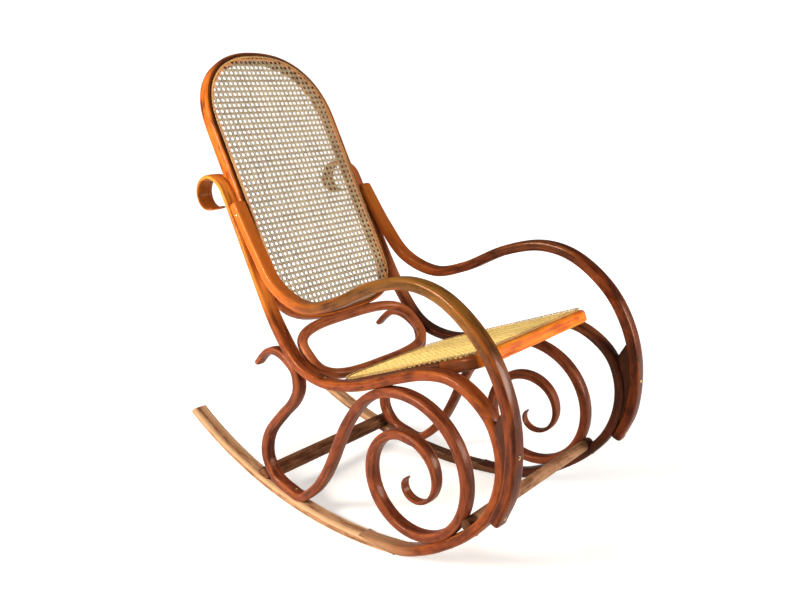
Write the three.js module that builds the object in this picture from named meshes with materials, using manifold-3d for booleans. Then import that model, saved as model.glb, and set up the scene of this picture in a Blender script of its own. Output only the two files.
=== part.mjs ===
// A bentwood rocking chair with a caned back and seat.
// Millimetres. X runs across the chair, Y to the rear, Z up; the sitter faces -Y.
// The origin is on the floor, below the middle of the chair's width and length.
// Right and left are the sitter's: right is -X.

import * as THREE from 'three';
import { mergeVertices } from 'three/addons/utils/BufferGeometryUtils.js';
import Module from 'manifold-3d';

const wasm = await Module();
wasm.setup();

const degrees = THREE.MathUtils.degToRad;
const mix = THREE.MathUtils.lerp;
const ease = THREE.MathUtils.smoothstep;
const vec = (x, y, z) => new THREE.Vector3(x, y, z);

// Both side frames: outlines are drawn in shares of this depth and height
const frameDepth = 1020;
const frameHeight = 770;
const halfSpan = 224;            // from the middle of the chair to a side frame's middle plane
const splayAngle = degrees(2.2); // the side frames close towards the rear

// Rocker
const rockRadius = 1015;         // radius of the edge that rolls on the floor
const restShare = -0.0127;       // where that edge is lowest, of frameDepth

// Bent rods: width is across the chair, thickness is in the plane of the bend
const bendWidth = 34;
const bendThick = 22;
const earWidth = 42;
const earThick = 12;
const earTipThick = 6;
const uprightWidth = 36;
const uprightThick = 16;
const runnerWidth = 38;
const runnerThick = 22;
const runnerTailWidth = 42;
const runnerTailThick = 14;
const armWidth = 33;
const armThick = 24;
const scrollWidth = 31;
const scrollThick = 21;
const hookWidth = 26;
const hookThick = 13;
const scrollTipWidth = 13;
const scrollTipThick = 5;
const easedShare = 0.27;         // cut corners of every section, of its smaller size

// Ear: the rod's flattened end curls back over the top of the upright
const earRadius = 35;
const earLead = 20;              // how much wider the curl starts
const earLeadPower = 5;          // how fast it closes to that radius
const earStart = degrees(158);
const earTurn = degrees(272);

// Arms
const armOut = 10;               // the arms run this far outside the side frames' planes
const armTopOut = 2;             // and this far at their upper ends
const blockWidth = 26;           // the wedge between an arm's front and the side bend

// Back frame, in its own leaning plane
const backLength = 687;
const backArchHeight = 192;
const backArchSquareness = 2.3;  // exponent of the arch's curve; 2 would be an ellipse
const backFootHeight = 120;
const backFootSquareness = 3;    // the same for the curve at its lower end
const backRailThick = 23;
const backRailDeep = 32;
const backForward = 2;           // its middle plane lies this far before the uprights' centre lines
const backHalving = 6;           // the uprights and arms are let this far into its sides

// Lower ring
const lowerTube = 24;
const lowerSquareness = 3.3;
const lowerForward = 9.6;        // its upper bar lies this far before the back frame's middle plane
const lowerCope = 4;             // that bar is hollowed this deep to seat the back frame
const lowerRise = 3;             // its lower bar's centre is this far above the seat's upper face
const lowerAir = 1.5;            // between its sides and the side bends

// Seat frame
const seatThick = 28;
const seatSideWide = 40;
const seatFrontWide = 46;
const seatRearWide = 44;
const seatCorner = 50;
const seatRearCorner = 90;
const seatInnerCorner = 20;
const seatInnerRearCorner = 50;
const seatEasing = 3;
const frontRailReach = 104;      // the front rail turns its corners and runs back this far
const rearRailReach = 112;

// Cane
const caneThick = 2.2;
const caneInset = 9;             // from the frame's outer edge to the cane's edge
const caneMargin = 5;            // solid strip between the frame's inner edge and the first gaps
const binderWide = 6;
const binderThick = 1.6;
const backGapPitch = 34;
const seatGapPitch = 40;
const gapShare = 0.6;            // size of a gap, of the pitch

// Stretchers
const rearBar = 38;
const rearBarNotch = 17;         // how deep it is notched over the runners
const rearBarInset = 7;          // from the runners' outer faces to its ends
const frontBar = 26;
const frontBarNotch = 9;
const frontBarInset = 4.5;
const barEasing = 3.5;

// Fits
const clearance = 0.3;           // between pieces that touch
const bite = 2;                  // how deep bent rods are planed into each other
const featherThick = 1.2;        // blunt ends of the slanted joint in the runner
const featherGap = 0.8;          // before and behind that joint's blunt ends
const footBite = 2.4;            // the same where the spiral rests on the side bend
const overrun = 60;              // how far a cutting body reaches past the piece that it cuts

// How finely round shapes are divided
const bendStep = degrees(11);
const runnerStep = degrees(3);
const runnerParts = 8;           // each such step holds this many places on its centre line
const longestStep = 120;
const domeAngles = [35, 62, 80].map(degrees);
const archSteps = 24;
const ringSteps = 36;
const cornerSteps = 7;
const roundSides = 12;
const barSides = 20;

// Frames of reference
const UP = vec(0, 0, 1);
const ACROSS = vec(1, 0, 0);

// The plane of one side frame: hand is -1 on the right and +1 on the left
function sidePlane(hand) {
  const rearward = vec(-hand * Math.sin(splayAngle), Math.cos(splayAngle), 0);
  const outward = vec(hand * Math.cos(splayAngle), Math.sin(splayAngle), 0);
  const middle = ACROSS.clone().multiplyScalar(hand * halfSpan);
  const at = (rear, up, out = 0) => middle.clone()
    .addScaledVector(rearward, rear).addScaledVector(UP, up).addScaledVector(outward, out);
  const atShare = ([rearShare, upShare], out = 0) => at(rearShare * frameDepth, upShare * frameHeight, out);
  const rearOf = (point) => point.clone().sub(middle).dot(rearward);
  return { hand, rearward, outward, at, atShare, rearOf };
}

const spanAt = (rear) => halfSpan - rear * Math.tan(splayAngle);

// Solids and cuts
function welded(geometry) {
  const plain = geometry.clone();
  plain.deleteAttribute('normal');
  plain.deleteAttribute('uv');
  return mergeVertices(plain);
}

function toSolid(geometry) {
  const shape = welded(geometry);
  return new wasm.Manifold(new wasm.Mesh({
    numProp: 3,
    vertProperties: new Float32Array(shape.attributes.position.array),
    triVerts: new Uint32Array(shape.index.array),
  }));
}

function toGeometry(solid) {
  const { vertProperties, triVerts } = solid.getMesh();
  const geometry = new THREE.BufferGeometry();
  geometry.setAttribute('position', new THREE.Float32BufferAttribute(vertProperties, 3));
  geometry.setIndex([...triVerts]);
  return geometry;
}

function cutBy(geometry, ...others) {
  return toGeometry(others.reduce((rest, other) => rest.subtract(toSolid(other)), toSolid(geometry)));
}

// The part of a geometry on the side of a plane that its normal points to
function keepBeyond(geometry, normal, point) {
  return toGeometry(toSolid(geometry).trimByPlane(normal.toArray(), normal.dot(point)));
}

// Six times the volume inside a geometry; negative when its faces point in
function signedVolume(geometry) {
  const { position } = geometry.attributes;
  const { array } = geometry.index;
  const corner = (i) => vec(0, 0, 0).fromBufferAttribute(position, array[i]);
  let sum = 0;
  for (let i = 0; i < array.length; i += 3) {
    sum += corner(i).dot(corner(i + 1).cross(corner(i + 2)));
  }
  return sum;
}

// Bent rods
// A rod is a list of stations: point, along, across, thickDir, width, thick.

// A rod's section at a share of its length, from rows of share, width and thickness
const tapered = (rows) => (share) => {
  const next = Math.max(rows.findIndex(([at]) => at >= share), 1);
  const [fromAt, fromWidth, fromThick] = rows[next - 1];
  const [toAt, toWidth, toThick] = rows[next];
  const t = ease(share, fromAt, toAt);
  return { width: mix(fromWidth, toWidth, t), thick: mix(fromThick, toThick, t) };
};

// Stations at every point of a line; size(share) gives the section at that share of its length
function stationsOn(points, outward, size, closed = false) {
  const count = points.length;
  const lengths = [0];
  for (let i = 1; i < count; i += 1) {
    lengths.push(lengths[i - 1] + points[i].distanceTo(points[i - 1]));
  }
  return points.map((point, i) => {
    const before = closed ? points[(i + count - 1) % count] : points[Math.max(i - 1, 0)];
    const after = closed ? points[(i + 1) % count] : points[Math.min(i + 1, count - 1)];
    const along = after.clone().sub(before).normalize();
    const thickDir = along.clone().cross(outward).normalize();
    const across = thickDir.clone().cross(along).normalize();
    return { point, along, across, thickDir, ...size(lengths[i] / lengths[count - 1]) };
  });
}

// Only the stations where the rod has turned or run far enough since the last one kept
function thinned(stations) {
  const kept = [stations[0]];
  let turned = 0;
  let run = 0;
  for (let i = 1; i < stations.length - 1; i += 1) {
    turned += stations[i].along.angleTo(stations[i - 1].along);
    run += stations[i].point.distanceTo(stations[i - 1].point);
    if (turned >= bendStep || run >= longestStep) {
      kept.push(stations[i]);
      turned = 0;
      run = 0;
    }
  }
  kept.push(stations[stations.length - 1]);
  return kept;
}

// A rounded end: stations that shrink over a depth beyond the last one
function domed(stations, depth) {
  const end = stations[stations.length - 1];
  const caps = domeAngles.map((angle) => {
    const loss = 2 * depth * (1 - Math.cos(angle));
    return {
      ...end,
      point: end.point.clone().addScaledVector(end.along, depth * Math.sin(angle)),
      width: end.width - loss,
      thick: end.thick - loss,
    };
  });
  return [...stations, ...caps];
}

// The corners of a section: a rectangle with eased corners, or a round with its own number of sides
function sectionRing({ point, across, thickDir, width, thick, sides }, grow) {
  const a = width / 2 + grow;
  const b = thick / 2 + grow;
  const cut = Math.min(width, thick) * easedShare;
  const eased = [
    [a, cut - b], [a, b - cut], [a - cut, b], [cut - a, b],
    [-a, b - cut], [-a, cut - b], [cut - a, -b], [a - cut, -b],
  ];
  const round = Array.from({ length: sides ?? 0 }, (_, i) => {
    const angle = (i + 1 / 2) * 2 * Math.PI / sides;
    return [a * Math.cos(angle), b * Math.sin(angle)];
  });
  return (sides ? round : eased)
    .map(([u, v]) => point.clone().addScaledVector(across, u).addScaledVector(thickDir, v));
}

// The solid through a rod's sections; grow makes it bigger all round
function loft(stations, { closed = false, grow = 0 } = {}) {
  const list = stations.map((station) => ({ ...station }));
  if (!closed) {
    const end = list[list.length - 1];
    list[0].point = list[0].point.clone().addScaledVector(list[0].along, -grow);
    end.point = end.point.clone().addScaledVector(end.along, grow);
  }
  const rings = list.map((station) => sectionRing(station, grow));
  const sides = rings[0].length;
  const index = [];
  for (let i = 0; i < (closed ? rings.length : rings.length - 1); i += 1) {
    const here = i * sides;
    const there = ((i + 1) % rings.length) * sides;
    for (let j = 0; j < sides; j += 1) {
      const k = (j + 1) % sides;
      index.push(here + j, here + k, there + k, here + j, there + k, there + j);
    }
  }
  if (!closed) {
    const last = (rings.length - 1) * sides;
    for (let j = 1; j < sides - 1; j += 1) {
      index.push(0, j + 1, j, last, last + j, last + j + 1);
    }
  }
  const geometry = new THREE.BufferGeometry();
  const corners = rings.flat().flatMap((corner) => corner.toArray());
  geometry.setAttribute('position', new THREE.Float32BufferAttribute(corners, 3));
  geometry.setIndex(index);
  if (signedVolume(geometry) < 0) {
    geometry.setIndex([...index].reverse());
  }
  return geometry;
}

// A rod made by loft, with the fatter body that its neighbours are cut by
const bentRod = (line, stations, options = {}) => ({
  line,
  body: loft(stations, options),
  cutter: loft(stations, { ...options, grow: clearance }),
});

const smoothLine = (points, divisions) => (
  new THREE.CatmullRomCurve3(points, false, 'centripetal').getPoints(divisions));

const nearest = (stations, point) => stations.reduce((best, station) => (
  station.point.distanceTo(point) < best.point.distanceTo(point) ? station : best));

// The centre of a rod that touches another one at a place, on the side that towards points to
function beside(line, place, towards, thick, depth = bite) {
  const station = nearest(line, place);
  const side = Math.sign(station.thickDir.dot(towards.clone().sub(station.point)));
  const away = (station.thick + thick) / 2 - depth;
  return station.point.clone().addScaledVector(station.thickDir, side * away);
}

// Flat plates
// A frame holds an origin and two axes; a plate lies between two heights above their plane.
function plate(shape, { origin, xAxis, yAxis }, from, thick, easing = 0) {
  const geometry = new THREE.ExtrudeGeometry(shape, {
    depth: thick - 2 * easing,
    curveSegments: cornerSteps,
    bevelEnabled: easing > 0,
    bevelThickness: easing,
    bevelSize: easing,
    bevelOffset: -easing,
    bevelSegments: 1,
  });
  const zAxis = xAxis.clone().cross(yAxis);
  const placed = new THREE.Matrix4().makeBasis(xAxis, yAxis, zAxis).setPosition(origin);
  return welded(geometry.translate(0, 0, from + easing).applyMatrix4(placed));
}

// A polygon with its corners rounded, each by its own radius
function roundedShape(corners, radii) {
  const roundness = 0.5523;      // makes a cubic curve follow a quarter circle
  const shape = new THREE.Shape();
  const count = corners.length;
  corners.forEach((corner, i) => {
    const towards = (other, reach) => corner.clone().add(other.clone().sub(corner).setLength(reach));
    const before = corners[(i + count - 1) % count];
    const after = corners[(i + 1) % count];
    const start = towards(before, radii[i]);
    const end = towards(after, radii[i]);
    const pull = radii[i] * (1 - roundness);
    if (i === 0) {
      shape.moveTo(start.x, start.y);
    } else {
      shape.lineTo(start.x, start.y);
    }
    const first = towards(before, pull);
    const second = towards(after, pull);
    shape.bezierCurveTo(first.x, first.y, second.x, second.y, end.x, end.y);
  });
  shape.closePath();
  return shape;
}

// A sheet with square gaps wherever fits(corner) holds for all four corners
function netPlate(outline, frame, from, { width, length, pitch, fits }) {
  const half = pitch * gapShare / 2;
  const columns = Math.floor(width / pitch);
  const rows = Math.floor(length / pitch);
  const gaps = [];
  for (let i = 0; i < columns; i += 1) {
    for (let j = 0; j < rows; j += 1) {
      const x = (i - (columns - 1) / 2) * pitch;
      const y = length / 2 + (j - (rows - 1) / 2) * pitch;
      const corners = [[-1, -1], [1, -1], [1, 1], [-1, 1]]
        .map(([right, up]) => new THREE.Vector2(x + right * half, y + up * half));
      if (corners.every(fits)) {
        gaps.push(new THREE.Shape(corners));
      }
    }
  }
  const sheet = plate(outline, frame, from, caneThick);
  return cutBy(sheet, plate(gaps, frame, from - clearance, caneThick + 2 * clearance));
}

// Side bend: ear, upright, seat run, front curve and the front of the runner
const earShares = [0.390, 0.949];
const uprightShares = [[0.3245, 0.940], [0.2529, 0.743]];
const sideBendShares = [
  [0.187, 0.579], [0.120, 0.478], [0.042, 0.447], [-0.058, 0.465], [-0.169, 0.518],
  [-0.245, 0.549], [-0.306, 0.553], [-0.358, 0.522], [-0.397, 0.471], [-0.417, 0.397],
  [-0.415, 0.313], [-0.390, 0.229], [-0.343, 0.158], [-0.284, 0.099], [-0.231, 0.060],
];
const arcShare = -0.180;         // from here back the rod follows the rolling arc
const jointFrontShare = -0.163;  // the slanted joint's thin end below
const jointRearShare = -0.060;   // its thin end above
const runnerEndShare = 0.525;

// The rolling arc's centre is this high, so that the flat below it stands on the floor
const rockHeight = rockRadius * Math.cos(runnerStep / 2);

// The angle round that centre of a place along the chair, from where the arc is lowest
const rockAngle = (rearShare) => Math.asin((rearShare - restShare) * frameDepth / rockRadius);

// The runner's centre line at an angle: thick is its thickness there, lift is how far above that line
function onArc(plane, angle, thick, lift = 0) {
  const radius = rockRadius - thick / 2 - lift;
  const rear = restShare * frameDepth + radius * Math.sin(angle);
  return plane.at(rear, rockHeight - radius * Math.cos(angle));
}

const onRunner = (plane, rearShare, thick, lift) => (
  onArc(plane, rockAngle(rearShare), thick, lift));

function earPoints(plane) {
  const steps = 12;
  return Array.from({ length: steps + 1 }, (_, i) => {
    const share = 1 - i / steps;
    const radius = earRadius + earLead * (1 - share) ** earLeadPower;
    const angle = earStart - earTurn * share;
    return plane.atShare(earShares)
      .addScaledVector(plane.rearward, radius * Math.cos(angle))
      .addScaledVector(UP, radius * Math.sin(angle));
  });
}

// The rod is thin and wide at the ear, full along the seat and wide again in the runner
const bendSizeShares = [
  [0, earWidth, earTipThick], [0.1, earWidth, earThick], [0.18, uprightWidth, uprightThick],
  [0.22, uprightWidth, uprightThick], [0.32, bendWidth, bendThick], [0.78, bendWidth, bendThick],
  [0.9, runnerWidth, runnerThick], [1, runnerWidth, runnerThick],
];
const arcSteps = 3;

function sideBend(plane) {
  const points = [
    ...earPoints(plane),
    ...uprightShares.map((pair) => plane.atShare(pair)),
    ...sideBendShares.map((pair) => plane.atShare(pair)),
    ...Array.from({ length: arcSteps + 1 }, (_, i) => (
      onRunner(plane, mix(arcShare, jointRearShare, i / arcSteps), runnerThick))),
  ];
  const line = stationsOn(smoothLine(points, 900), plane.outward, tapered(bendSizeShares));
  return bentRod(line, thinned(line));
}

// The slanted joint: a cutting body above or below it, over its own length and past the rod's faces
function jointBody(plane, above) {
  const low = onRunner(plane, jointFrontShare, runnerThick, featherThick - runnerThick / 2);
  const high = onRunner(plane, jointRearShare, runnerThick, runnerThick / 2 - featherThick);
  const flat = (point) => new THREE.Vector2(plane.rearOf(point), point.z);
  const slope = flat(high).sub(flat(low)).normalize();
  const lift = new THREE.Vector2(-slope.y, slope.x).multiplyScalar(above ? 1 : -1);
  const frontReach = above ? -overrun : -featherGap;
  const rearReach = above ? featherGap : overrun;
  const front = flat(low).addScaledVector(slope, frontReach).addScaledVector(lift, -clearance / 2);
  const rear = flat(high).addScaledVector(slope, rearReach).addScaledVector(lift, -clearance / 2);
  const farRear = rear.clone().addScaledVector(lift, overrun);
  const farFront = front.clone().addScaledVector(lift, overrun);
  const frame = { origin: plane.at(0, 0), xAxis: plane.rearward, yAxis: UP };
  const shape = new THREE.Shape([front, rear, farRear, farFront]);
  return plate(shape, frame, -runnerWidth, 2 * runnerWidth);
}

// The runner's section from its joint to its tail
const runnerSizeShares = [
  [0, runnerWidth, runnerThick], [0.35, runnerWidth, runnerThick], [1, runnerTailWidth, runnerTailThick],
];

function runner(plane) {
  const size = tapered(runnerSizeShares);
  const step = runnerStep / runnerParts;
  const first = Math.ceil(rockAngle(jointFrontShare) / step);
  const count = Math.round(rockAngle(runnerEndShare) / step) - first;
  const points = Array.from({ length: count + 1 }, (_, i) => (
    onArc(plane, (first + i) * step, size(i / count).thick)));
  const line = stationsOn(points, plane.outward, size);
  const isKept = (i) => i === 0 || i === count || Math.abs(first + i) % runnerParts === runnerParts / 2;
  return bentRod(line, line.filter((_, i) => isKept(i)));
}

// Scroll bend: hook, S loop, arch under the seat, and the spiral
const hookShares = [
  [0.259, 0.451], [0.241, 0.475], [0.221, 0.494], [0.196, 0.501], [0.172, 0.495], [0.153, 0.482],
];
const hookTouchShares = [0.121, 0.483];
const loopShares = [
  [0.126, 0.429], [0.128, 0.394], [0.147, 0.353], [0.184, 0.306], [0.235, 0.230], [0.250, 0.171],
  [0.245, 0.130], [0.220, 0.086],
];
const standShares = [0.178, 0.145];
const archShares = [
  [0.091, 0.097], [0.055, 0.152], [0.026, 0.218], [0.005, 0.275], [-0.028, 0.353], [-0.078, 0.430],
];
const spiralTopShares = [-0.120, 0.493];
const spiralFootShares = [-0.296, 0.109];
const spiralStart = degrees(67);
const spiralTurn = degrees(684);
const spiralFootTurn = degrees(160); // from its start to its foot
const spiralEndShare = 0.088;    // last radius, of the first
const spiralDriftShares = [-0.090, -0.080]; // how far its centre moves, of the first radius

// The spiral with a first radius of 1
function unitSpiral(turned) {
  const share = turned / spiralTurn;
  const radius = mix(1, spiralEndShare, share);
  const [driftRear, driftUp] = spiralDriftShares;
  return new THREE.Vector2(Math.cos(spiralStart + turned), Math.sin(spiralStart + turned))
    .multiplyScalar(radius).add(new THREE.Vector2(driftRear, driftUp).multiplyScalar(share ** 2));
}

// The spiral, turned and sized so that it starts at top and passes foot later on
function spiralPoints(plane, top, foot) {
  const flat = (point) => new THREE.Vector2(plane.rearOf(point), point.z);
  const span = unitSpiral(spiralFootTurn).sub(unitSpiral(0));
  const wanted = flat(foot).sub(flat(top));
  const size = wanted.length() / span.length();
  const turn = wanted.angle() - span.angle();
  const steps = 48;
  return Array.from({ length: steps + 1 }, (_, i) => {
    const offset = unitSpiral(spiralTurn * i / steps).sub(unitSpiral(0));
    const { x, y } = offset.multiplyScalar(size).rotateAround(new THREE.Vector2(), turn).add(flat(top));
    return plane.at(x, y);
  });
}

const scrollSizeShares = [
  [0, hookWidth, hookThick], [0.06, scrollWidth, scrollThick], [0.86, scrollWidth, scrollThick],
  [1, scrollTipWidth, scrollTipThick],
];

function scrollBend(plane, bend, foot) {
  const touch = (line, pair, towards, depth) => (
    beside(line, plane.atShare(pair), plane.atShare(towards), scrollThick, depth));
  const stand = standShares.map((share) => {
    const above = plane.at(share * frameDepth, frameHeight);
    return beside(foot.line, onRunner(plane, share, runnerThick), above, scrollThick);
  });
  const top = touch(bend.line, spiralTopShares, spiralFootShares, clearance);
  const spiralFoot = touch(bend.line, spiralFootShares, spiralTopShares, footBite);
  const points = [
    ...hookShares.map((pair) => plane.atShare(pair)),
    touch(bend.line, hookTouchShares, loopShares[0]),
    ...loopShares.map((pair) => plane.atShare(pair)),
    ...stand,
    ...archShares.map((pair) => plane.atShare(pair)),
    ...spiralPoints(plane, top, spiralFoot),
  ];
  const line = stationsOn(smoothLine(points, 1400), plane.outward, tapered(scrollSizeShares));
  const turnedRound = (stations) => stations
    .map((station) => ({ ...station, along: station.along.clone().negate() })).reverse();
  const innerEnd = domed(thinned(line), scrollTipThick / 2);
  return bentRod(line, turnedRound(domed(turnedRound(innerEnd), hookThick / 2)));
}

// Arm: from the back frame's side down to the armrest, forward, and down the front
const armTopShares = [0.315, 0.914];
const armShares = [
  [0.237, 0.797], [0.175, 0.701], [0.084, 0.658], [-0.005, 0.684], [-0.122, 0.753], [-0.216, 0.778],
  [-0.294, 0.756], [-0.376, 0.675], [-0.424, 0.578], [-0.449, 0.461], [-0.443, 0.318],
];
const armFootShares = [-0.396, 0.240];
const armOutPoints = 3;          // over how many of these points it moves outward

function arm(plane, bend) {
  const pastFoot = [-1, 0];
  const points = [
    beside(bend.line, plane.atShare(armTopShares), plane.atShare(armShares[0]), armThick),
    ...armShares.map((pair) => plane.atShare(pair)),
    beside(bend.line, plane.atShare(armFootShares), plane.atShare(pastFoot), armThick),
  ];
  const outAt = (i) => mix(armTopOut, armOut, ease(i, 0, armOutPoints));
  const shifted = points.map((point, i) => point.clone().addScaledVector(plane.outward, outAt(i)));
  const size = () => ({ width: armWidth, thick: armThick });
  const line = stationsOn(smoothLine(shifted, 600), plane.outward, size);
  return bentRod(line, domed(thinned(line), armThick / 3));
}

// The wedge glued between an arm's front and the side bend: everything between their centre lines
const blockTopShare = 0.49;
const blockFootShare = 0.29;
const blockEvery = 6;            // its outline takes one in so many points of those lines

function armBlock(plane, bend, armRod) {
  const between = (line) => line
    .filter(({ point }) => point.z > blockFootShare * frameHeight && point.z < blockTopShare * frameHeight)
    .filter(({ point }) => plane.rearOf(point) < jointFrontShare * frameDepth)
    .filter((_, i) => i % blockEvery === 0)
    .map(({ point }) => new THREE.Vector2(plane.rearOf(point), point.z));
  const outline = [...between(bend.line), ...between(armRod.line).reverse()];
  const frame = { origin: plane.at(0, 0, armOut / 2), xAxis: plane.rearward, yAxis: UP };
  const wedge = plate(new THREE.Shape(outline), frame, -blockWidth / 2, blockWidth);
  return cutBy(wedge, bend.cutter, armRod.cutter);
}

// Back frame: it leans with the straight of the uprights
const backFootShare = 0.5597;    // height of its lowest point, of frameHeight
const [[topRear, topUp], [footRear, footUp]] = uprightShares
  .map(([rear, up]) => [rear * frameDepth, up * frameHeight]);
const backLean = Math.atan2(topRear - footRear, topUp - footUp);
const backHalfWidth = spanAt((topRear + footRear) / 2) - uprightWidth / 2 + backHalving;
const backAxis = vec(0, Math.sin(backLean), Math.cos(backLean));
const backFront = ACROSS.clone().cross(backAxis);
const backRise = backFootShare * frameHeight;
const backFrameAxes = {
  origin: vec(0, footRear + (backRise - footUp) * Math.tan(backLean), backRise)
    .addScaledVector(backFront, backForward),
  xAxis: ACROSS,
  yAxis: backAxis,
};

// A point of a bowed outline round the origin; angle runs once round it
function bowedPoint(angle, half, rise, squareness) {
  const bow = (value) => Math.sign(value) * Math.abs(value) ** (2 / squareness);
  return new THREE.Vector2(half * bow(Math.cos(angle)), rise * bow(Math.sin(angle)));
}

// The arch or the foot of the back's outline, inset from its outer edge
const backEnd = (upper, inset) => ({
  half: backHalfWidth - inset,
  rise: (upper ? backArchHeight : backFootHeight) - inset,
  middle: upper ? backLength - backArchHeight : backFootHeight,
  squareness: upper ? backArchSquareness : backFootSquareness,
});

function backOutline(inset) {
  const end = (upper) => {
    const { half, rise, middle, squareness } = backEnd(upper, inset);
    const from = upper ? 0 : Math.PI;
    return Array.from({ length: archSteps }, (_, i) => (
      bowedPoint(from + Math.PI * (i + 1 / 2) / archSteps, half, rise, squareness)
        .add(new THREE.Vector2(0, middle))));
  };
  return [...end(true), ...end(false)];
}

const inBackPlane = ({ x, y }) => backFrameAxes.origin.clone()
  .addScaledVector(backFrameAxes.xAxis, x).addScaledVector(backFrameAxes.yAxis, y);

function backFrame() {
  const size = () => ({ width: backRailDeep, thick: backRailThick });
  const line = stationsOn(backOutline(backRailThick / 2).map(inBackPlane), backFront, size, true);
  return bentRod(line, line, { closed: true });
}

const backFace = backRailDeep / 2 + clearance;

function backCane() {
  const inset = backRailThick + caneMargin;
  const fits = ({ x, y }) => {
    const upper = y > backLength / 2;
    const { half, rise, middle, squareness } = backEnd(upper, inset);
    const beyond = Math.max(upper ? y - middle : middle - y, 0);
    return (Math.abs(x) / half) ** squareness + (beyond / rise) ** squareness < 1;
  };
  return netPlate(new THREE.Shape(backOutline(caneInset)), backFrameAxes, backFace, {
    width: 2 * (backHalfWidth - inset),
    length: backLength,
    pitch: backGapPitch,
    fits,
  });
}

function backBinder() {
  const shape = new THREE.Shape(backOutline(caneInset));
  shape.holes.push(new THREE.Path(backOutline(caneInset + binderWide)));
  return plate(shape, backFrameAxes, backFace + caneThick + clearance, binderThick);
}

// Seat: its plane falls from the front edge to the rear edge
const seatFrontShares = [-0.353, 0.622];
const seatRearShares = [0.0565, 0.4274];
const [seatFore, seatTop] = [seatFrontShares[0] * frameDepth, seatFrontShares[1] * frameHeight];
const [seatAft, seatLow] = [seatRearShares[0] * frameDepth, seatRearShares[1] * frameHeight];
const seatLength = Math.hypot(seatAft - seatFore, seatTop - seatLow);
const seatAxes = {
  origin: vec(0, seatFore, seatTop),
  xAxis: ACROSS,
  yAxis: vec(0, seatAft - seatFore, seatLow - seatTop).normalize(),
};
const seatNormal = seatAxes.xAxis.clone().cross(seatAxes.yAxis);

// Half the seat's width at a distance from its front edge: it fits between the side bends
const seatHalf = (distance) => (
  spanAt(seatFore + distance * seatAxes.yAxis.y) - bendWidth / 2 - clearance);

function seatShape(front, side, rear, corner, rearCorner) {
  const last = seatLength - rear;
  const corners = [
    new THREE.Vector2(side - seatHalf(front), front),
    new THREE.Vector2(seatHalf(front) - side, front),
    new THREE.Vector2(seatHalf(last) - side, last),
    new THREE.Vector2(side - seatHalf(last), last),
  ];
  return roundedShape(corners, [corner, corner, rearCorner, rearCorner]);
}

function seatFrame() {
  const outline = seatShape(0, 0, 0, seatCorner, seatRearCorner);
  const opening = seatShape(
    seatFrontWide,
    seatSideWide,
    seatRearWide,
    seatInnerCorner,
    seatInnerRearCorner,
  );
  const hole = plate(opening, seatAxes, -seatThick - overrun, seatThick + 2 * overrun);
  return cutBy(plate(outline, seatAxes, -seatThick, seatThick, seatEasing), hole);
}

function seatRails() {
  const whole = seatFrame();
  const across = (distance) => seatAxes.origin.clone().addScaledVector(seatAxes.yAxis, distance);
  const rearward = seatAxes.yAxis;
  const forward = rearward.clone().negate();
  const frontJoint = frontRailReach;
  const rearJoint = seatLength - rearRailReach;
  const front = keepBeyond(whole, forward, across(frontJoint - clearance / 2));
  const rear = keepBeyond(whole, rearward, across(rearJoint + clearance / 2));
  const middle = keepBeyond(
    keepBeyond(whole, rearward, across(frontJoint + clearance / 2)),
    forward,
    across(rearJoint - clearance / 2),
  );
  const side = (hand) => keepBeyond(middle, ACROSS.clone().multiplyScalar(hand), seatAxes.origin);
  return { front, rear, right: side(-1), left: side(1) };
}

const caneBand = (inset) => (
  seatShape(inset, inset, inset, seatCorner - inset, seatRearCorner - inset));

function seatCane() {
  const front = seatFrontWide + caneMargin;
  const side = seatSideWide + caneMargin;
  const rear = seatRearWide + caneMargin;
  const fits = ({ x, y }) => {
    const last = seatLength - rear;
    const intoCorner = new THREE.Vector2(
      Math.max(Math.abs(x) - seatHalf(y) + side + seatInnerRearCorner, 0),
      Math.max(y - last + seatInnerRearCorner, 0),
    );
    return y > front && intoCorner.length() < seatInnerRearCorner;
  };
  return netPlate(caneBand(caneInset), seatAxes, clearance, {
    width: 2 * (seatHalf(0) - side),
    length: seatLength + front - rear,
    pitch: seatGapPitch,
    fits,
  });
}

function seatBinder() {
  const shape = caneBand(caneInset);
  shape.holes.push(new THREE.Path(caneBand(caneInset + binderWide).getPoints(cornerSteps)));
  return plate(shape, seatAxes, caneThick + 2 * clearance, binderThick);
}

// Lower ring: its upper bar carries the back frame, its lower bar lies behind the seat's rear rail
function lowerRing() {
  const upper = backFrameAxes.origin.clone()
    .addScaledVector(backAxis, lowerCope - lowerTube / 2).addScaledVector(backFront, lowerForward);
  const lower = seatAxes.origin.clone()
    .addScaledVector(seatAxes.yAxis, seatLength + lowerTube / 2 + clearance)
    .addScaledVector(seatNormal, lowerRise);
  const middle = upper.clone().lerp(lower, 1 / 2);
  const rise = upper.distanceTo(lower) / 2;
  const axis = upper.clone().sub(lower).normalize();
  const half = spanAt(middle.y) - (bendWidth + lowerTube) / 2 - lowerAir;
  const points = Array.from({ length: ringSteps }, (_, i) => {
    const { x, y } = bowedPoint(2 * Math.PI * (i + 1 / 2) / ringSteps, half, rise, lowerSquareness);
    return middle.clone().addScaledVector(ACROSS, x).addScaledVector(axis, y);
  });
  const size = () => ({ width: lowerTube, thick: lowerTube, sides: roundSides });
  const line = stationsOn(points, ACROSS.clone().cross(axis), size, true);
  return bentRod(line, line, { closed: true });
}

// Stretchers: round bars across both side frames
function bar(centre, half, diameter) {
  const station = (x, shrink) => ({
    point: centre.clone().addScaledVector(ACROSS, x),
    along: ACROSS.clone(),
    across: vec(0, 1, 0),
    thickDir: UP.clone(),
    width: diameter - shrink,
    thick: diameter - shrink,
    sides: barSides,
  });
  return loft([
    station(-half, 2 * barEasing),
    station(barEasing - half, 0),
    station(half - barEasing, 0),
    station(half, 2 * barEasing),
  ]);
}

const frontBarShares = [-0.351, 0.1723];
const rearBarShare = 0.270;

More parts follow.
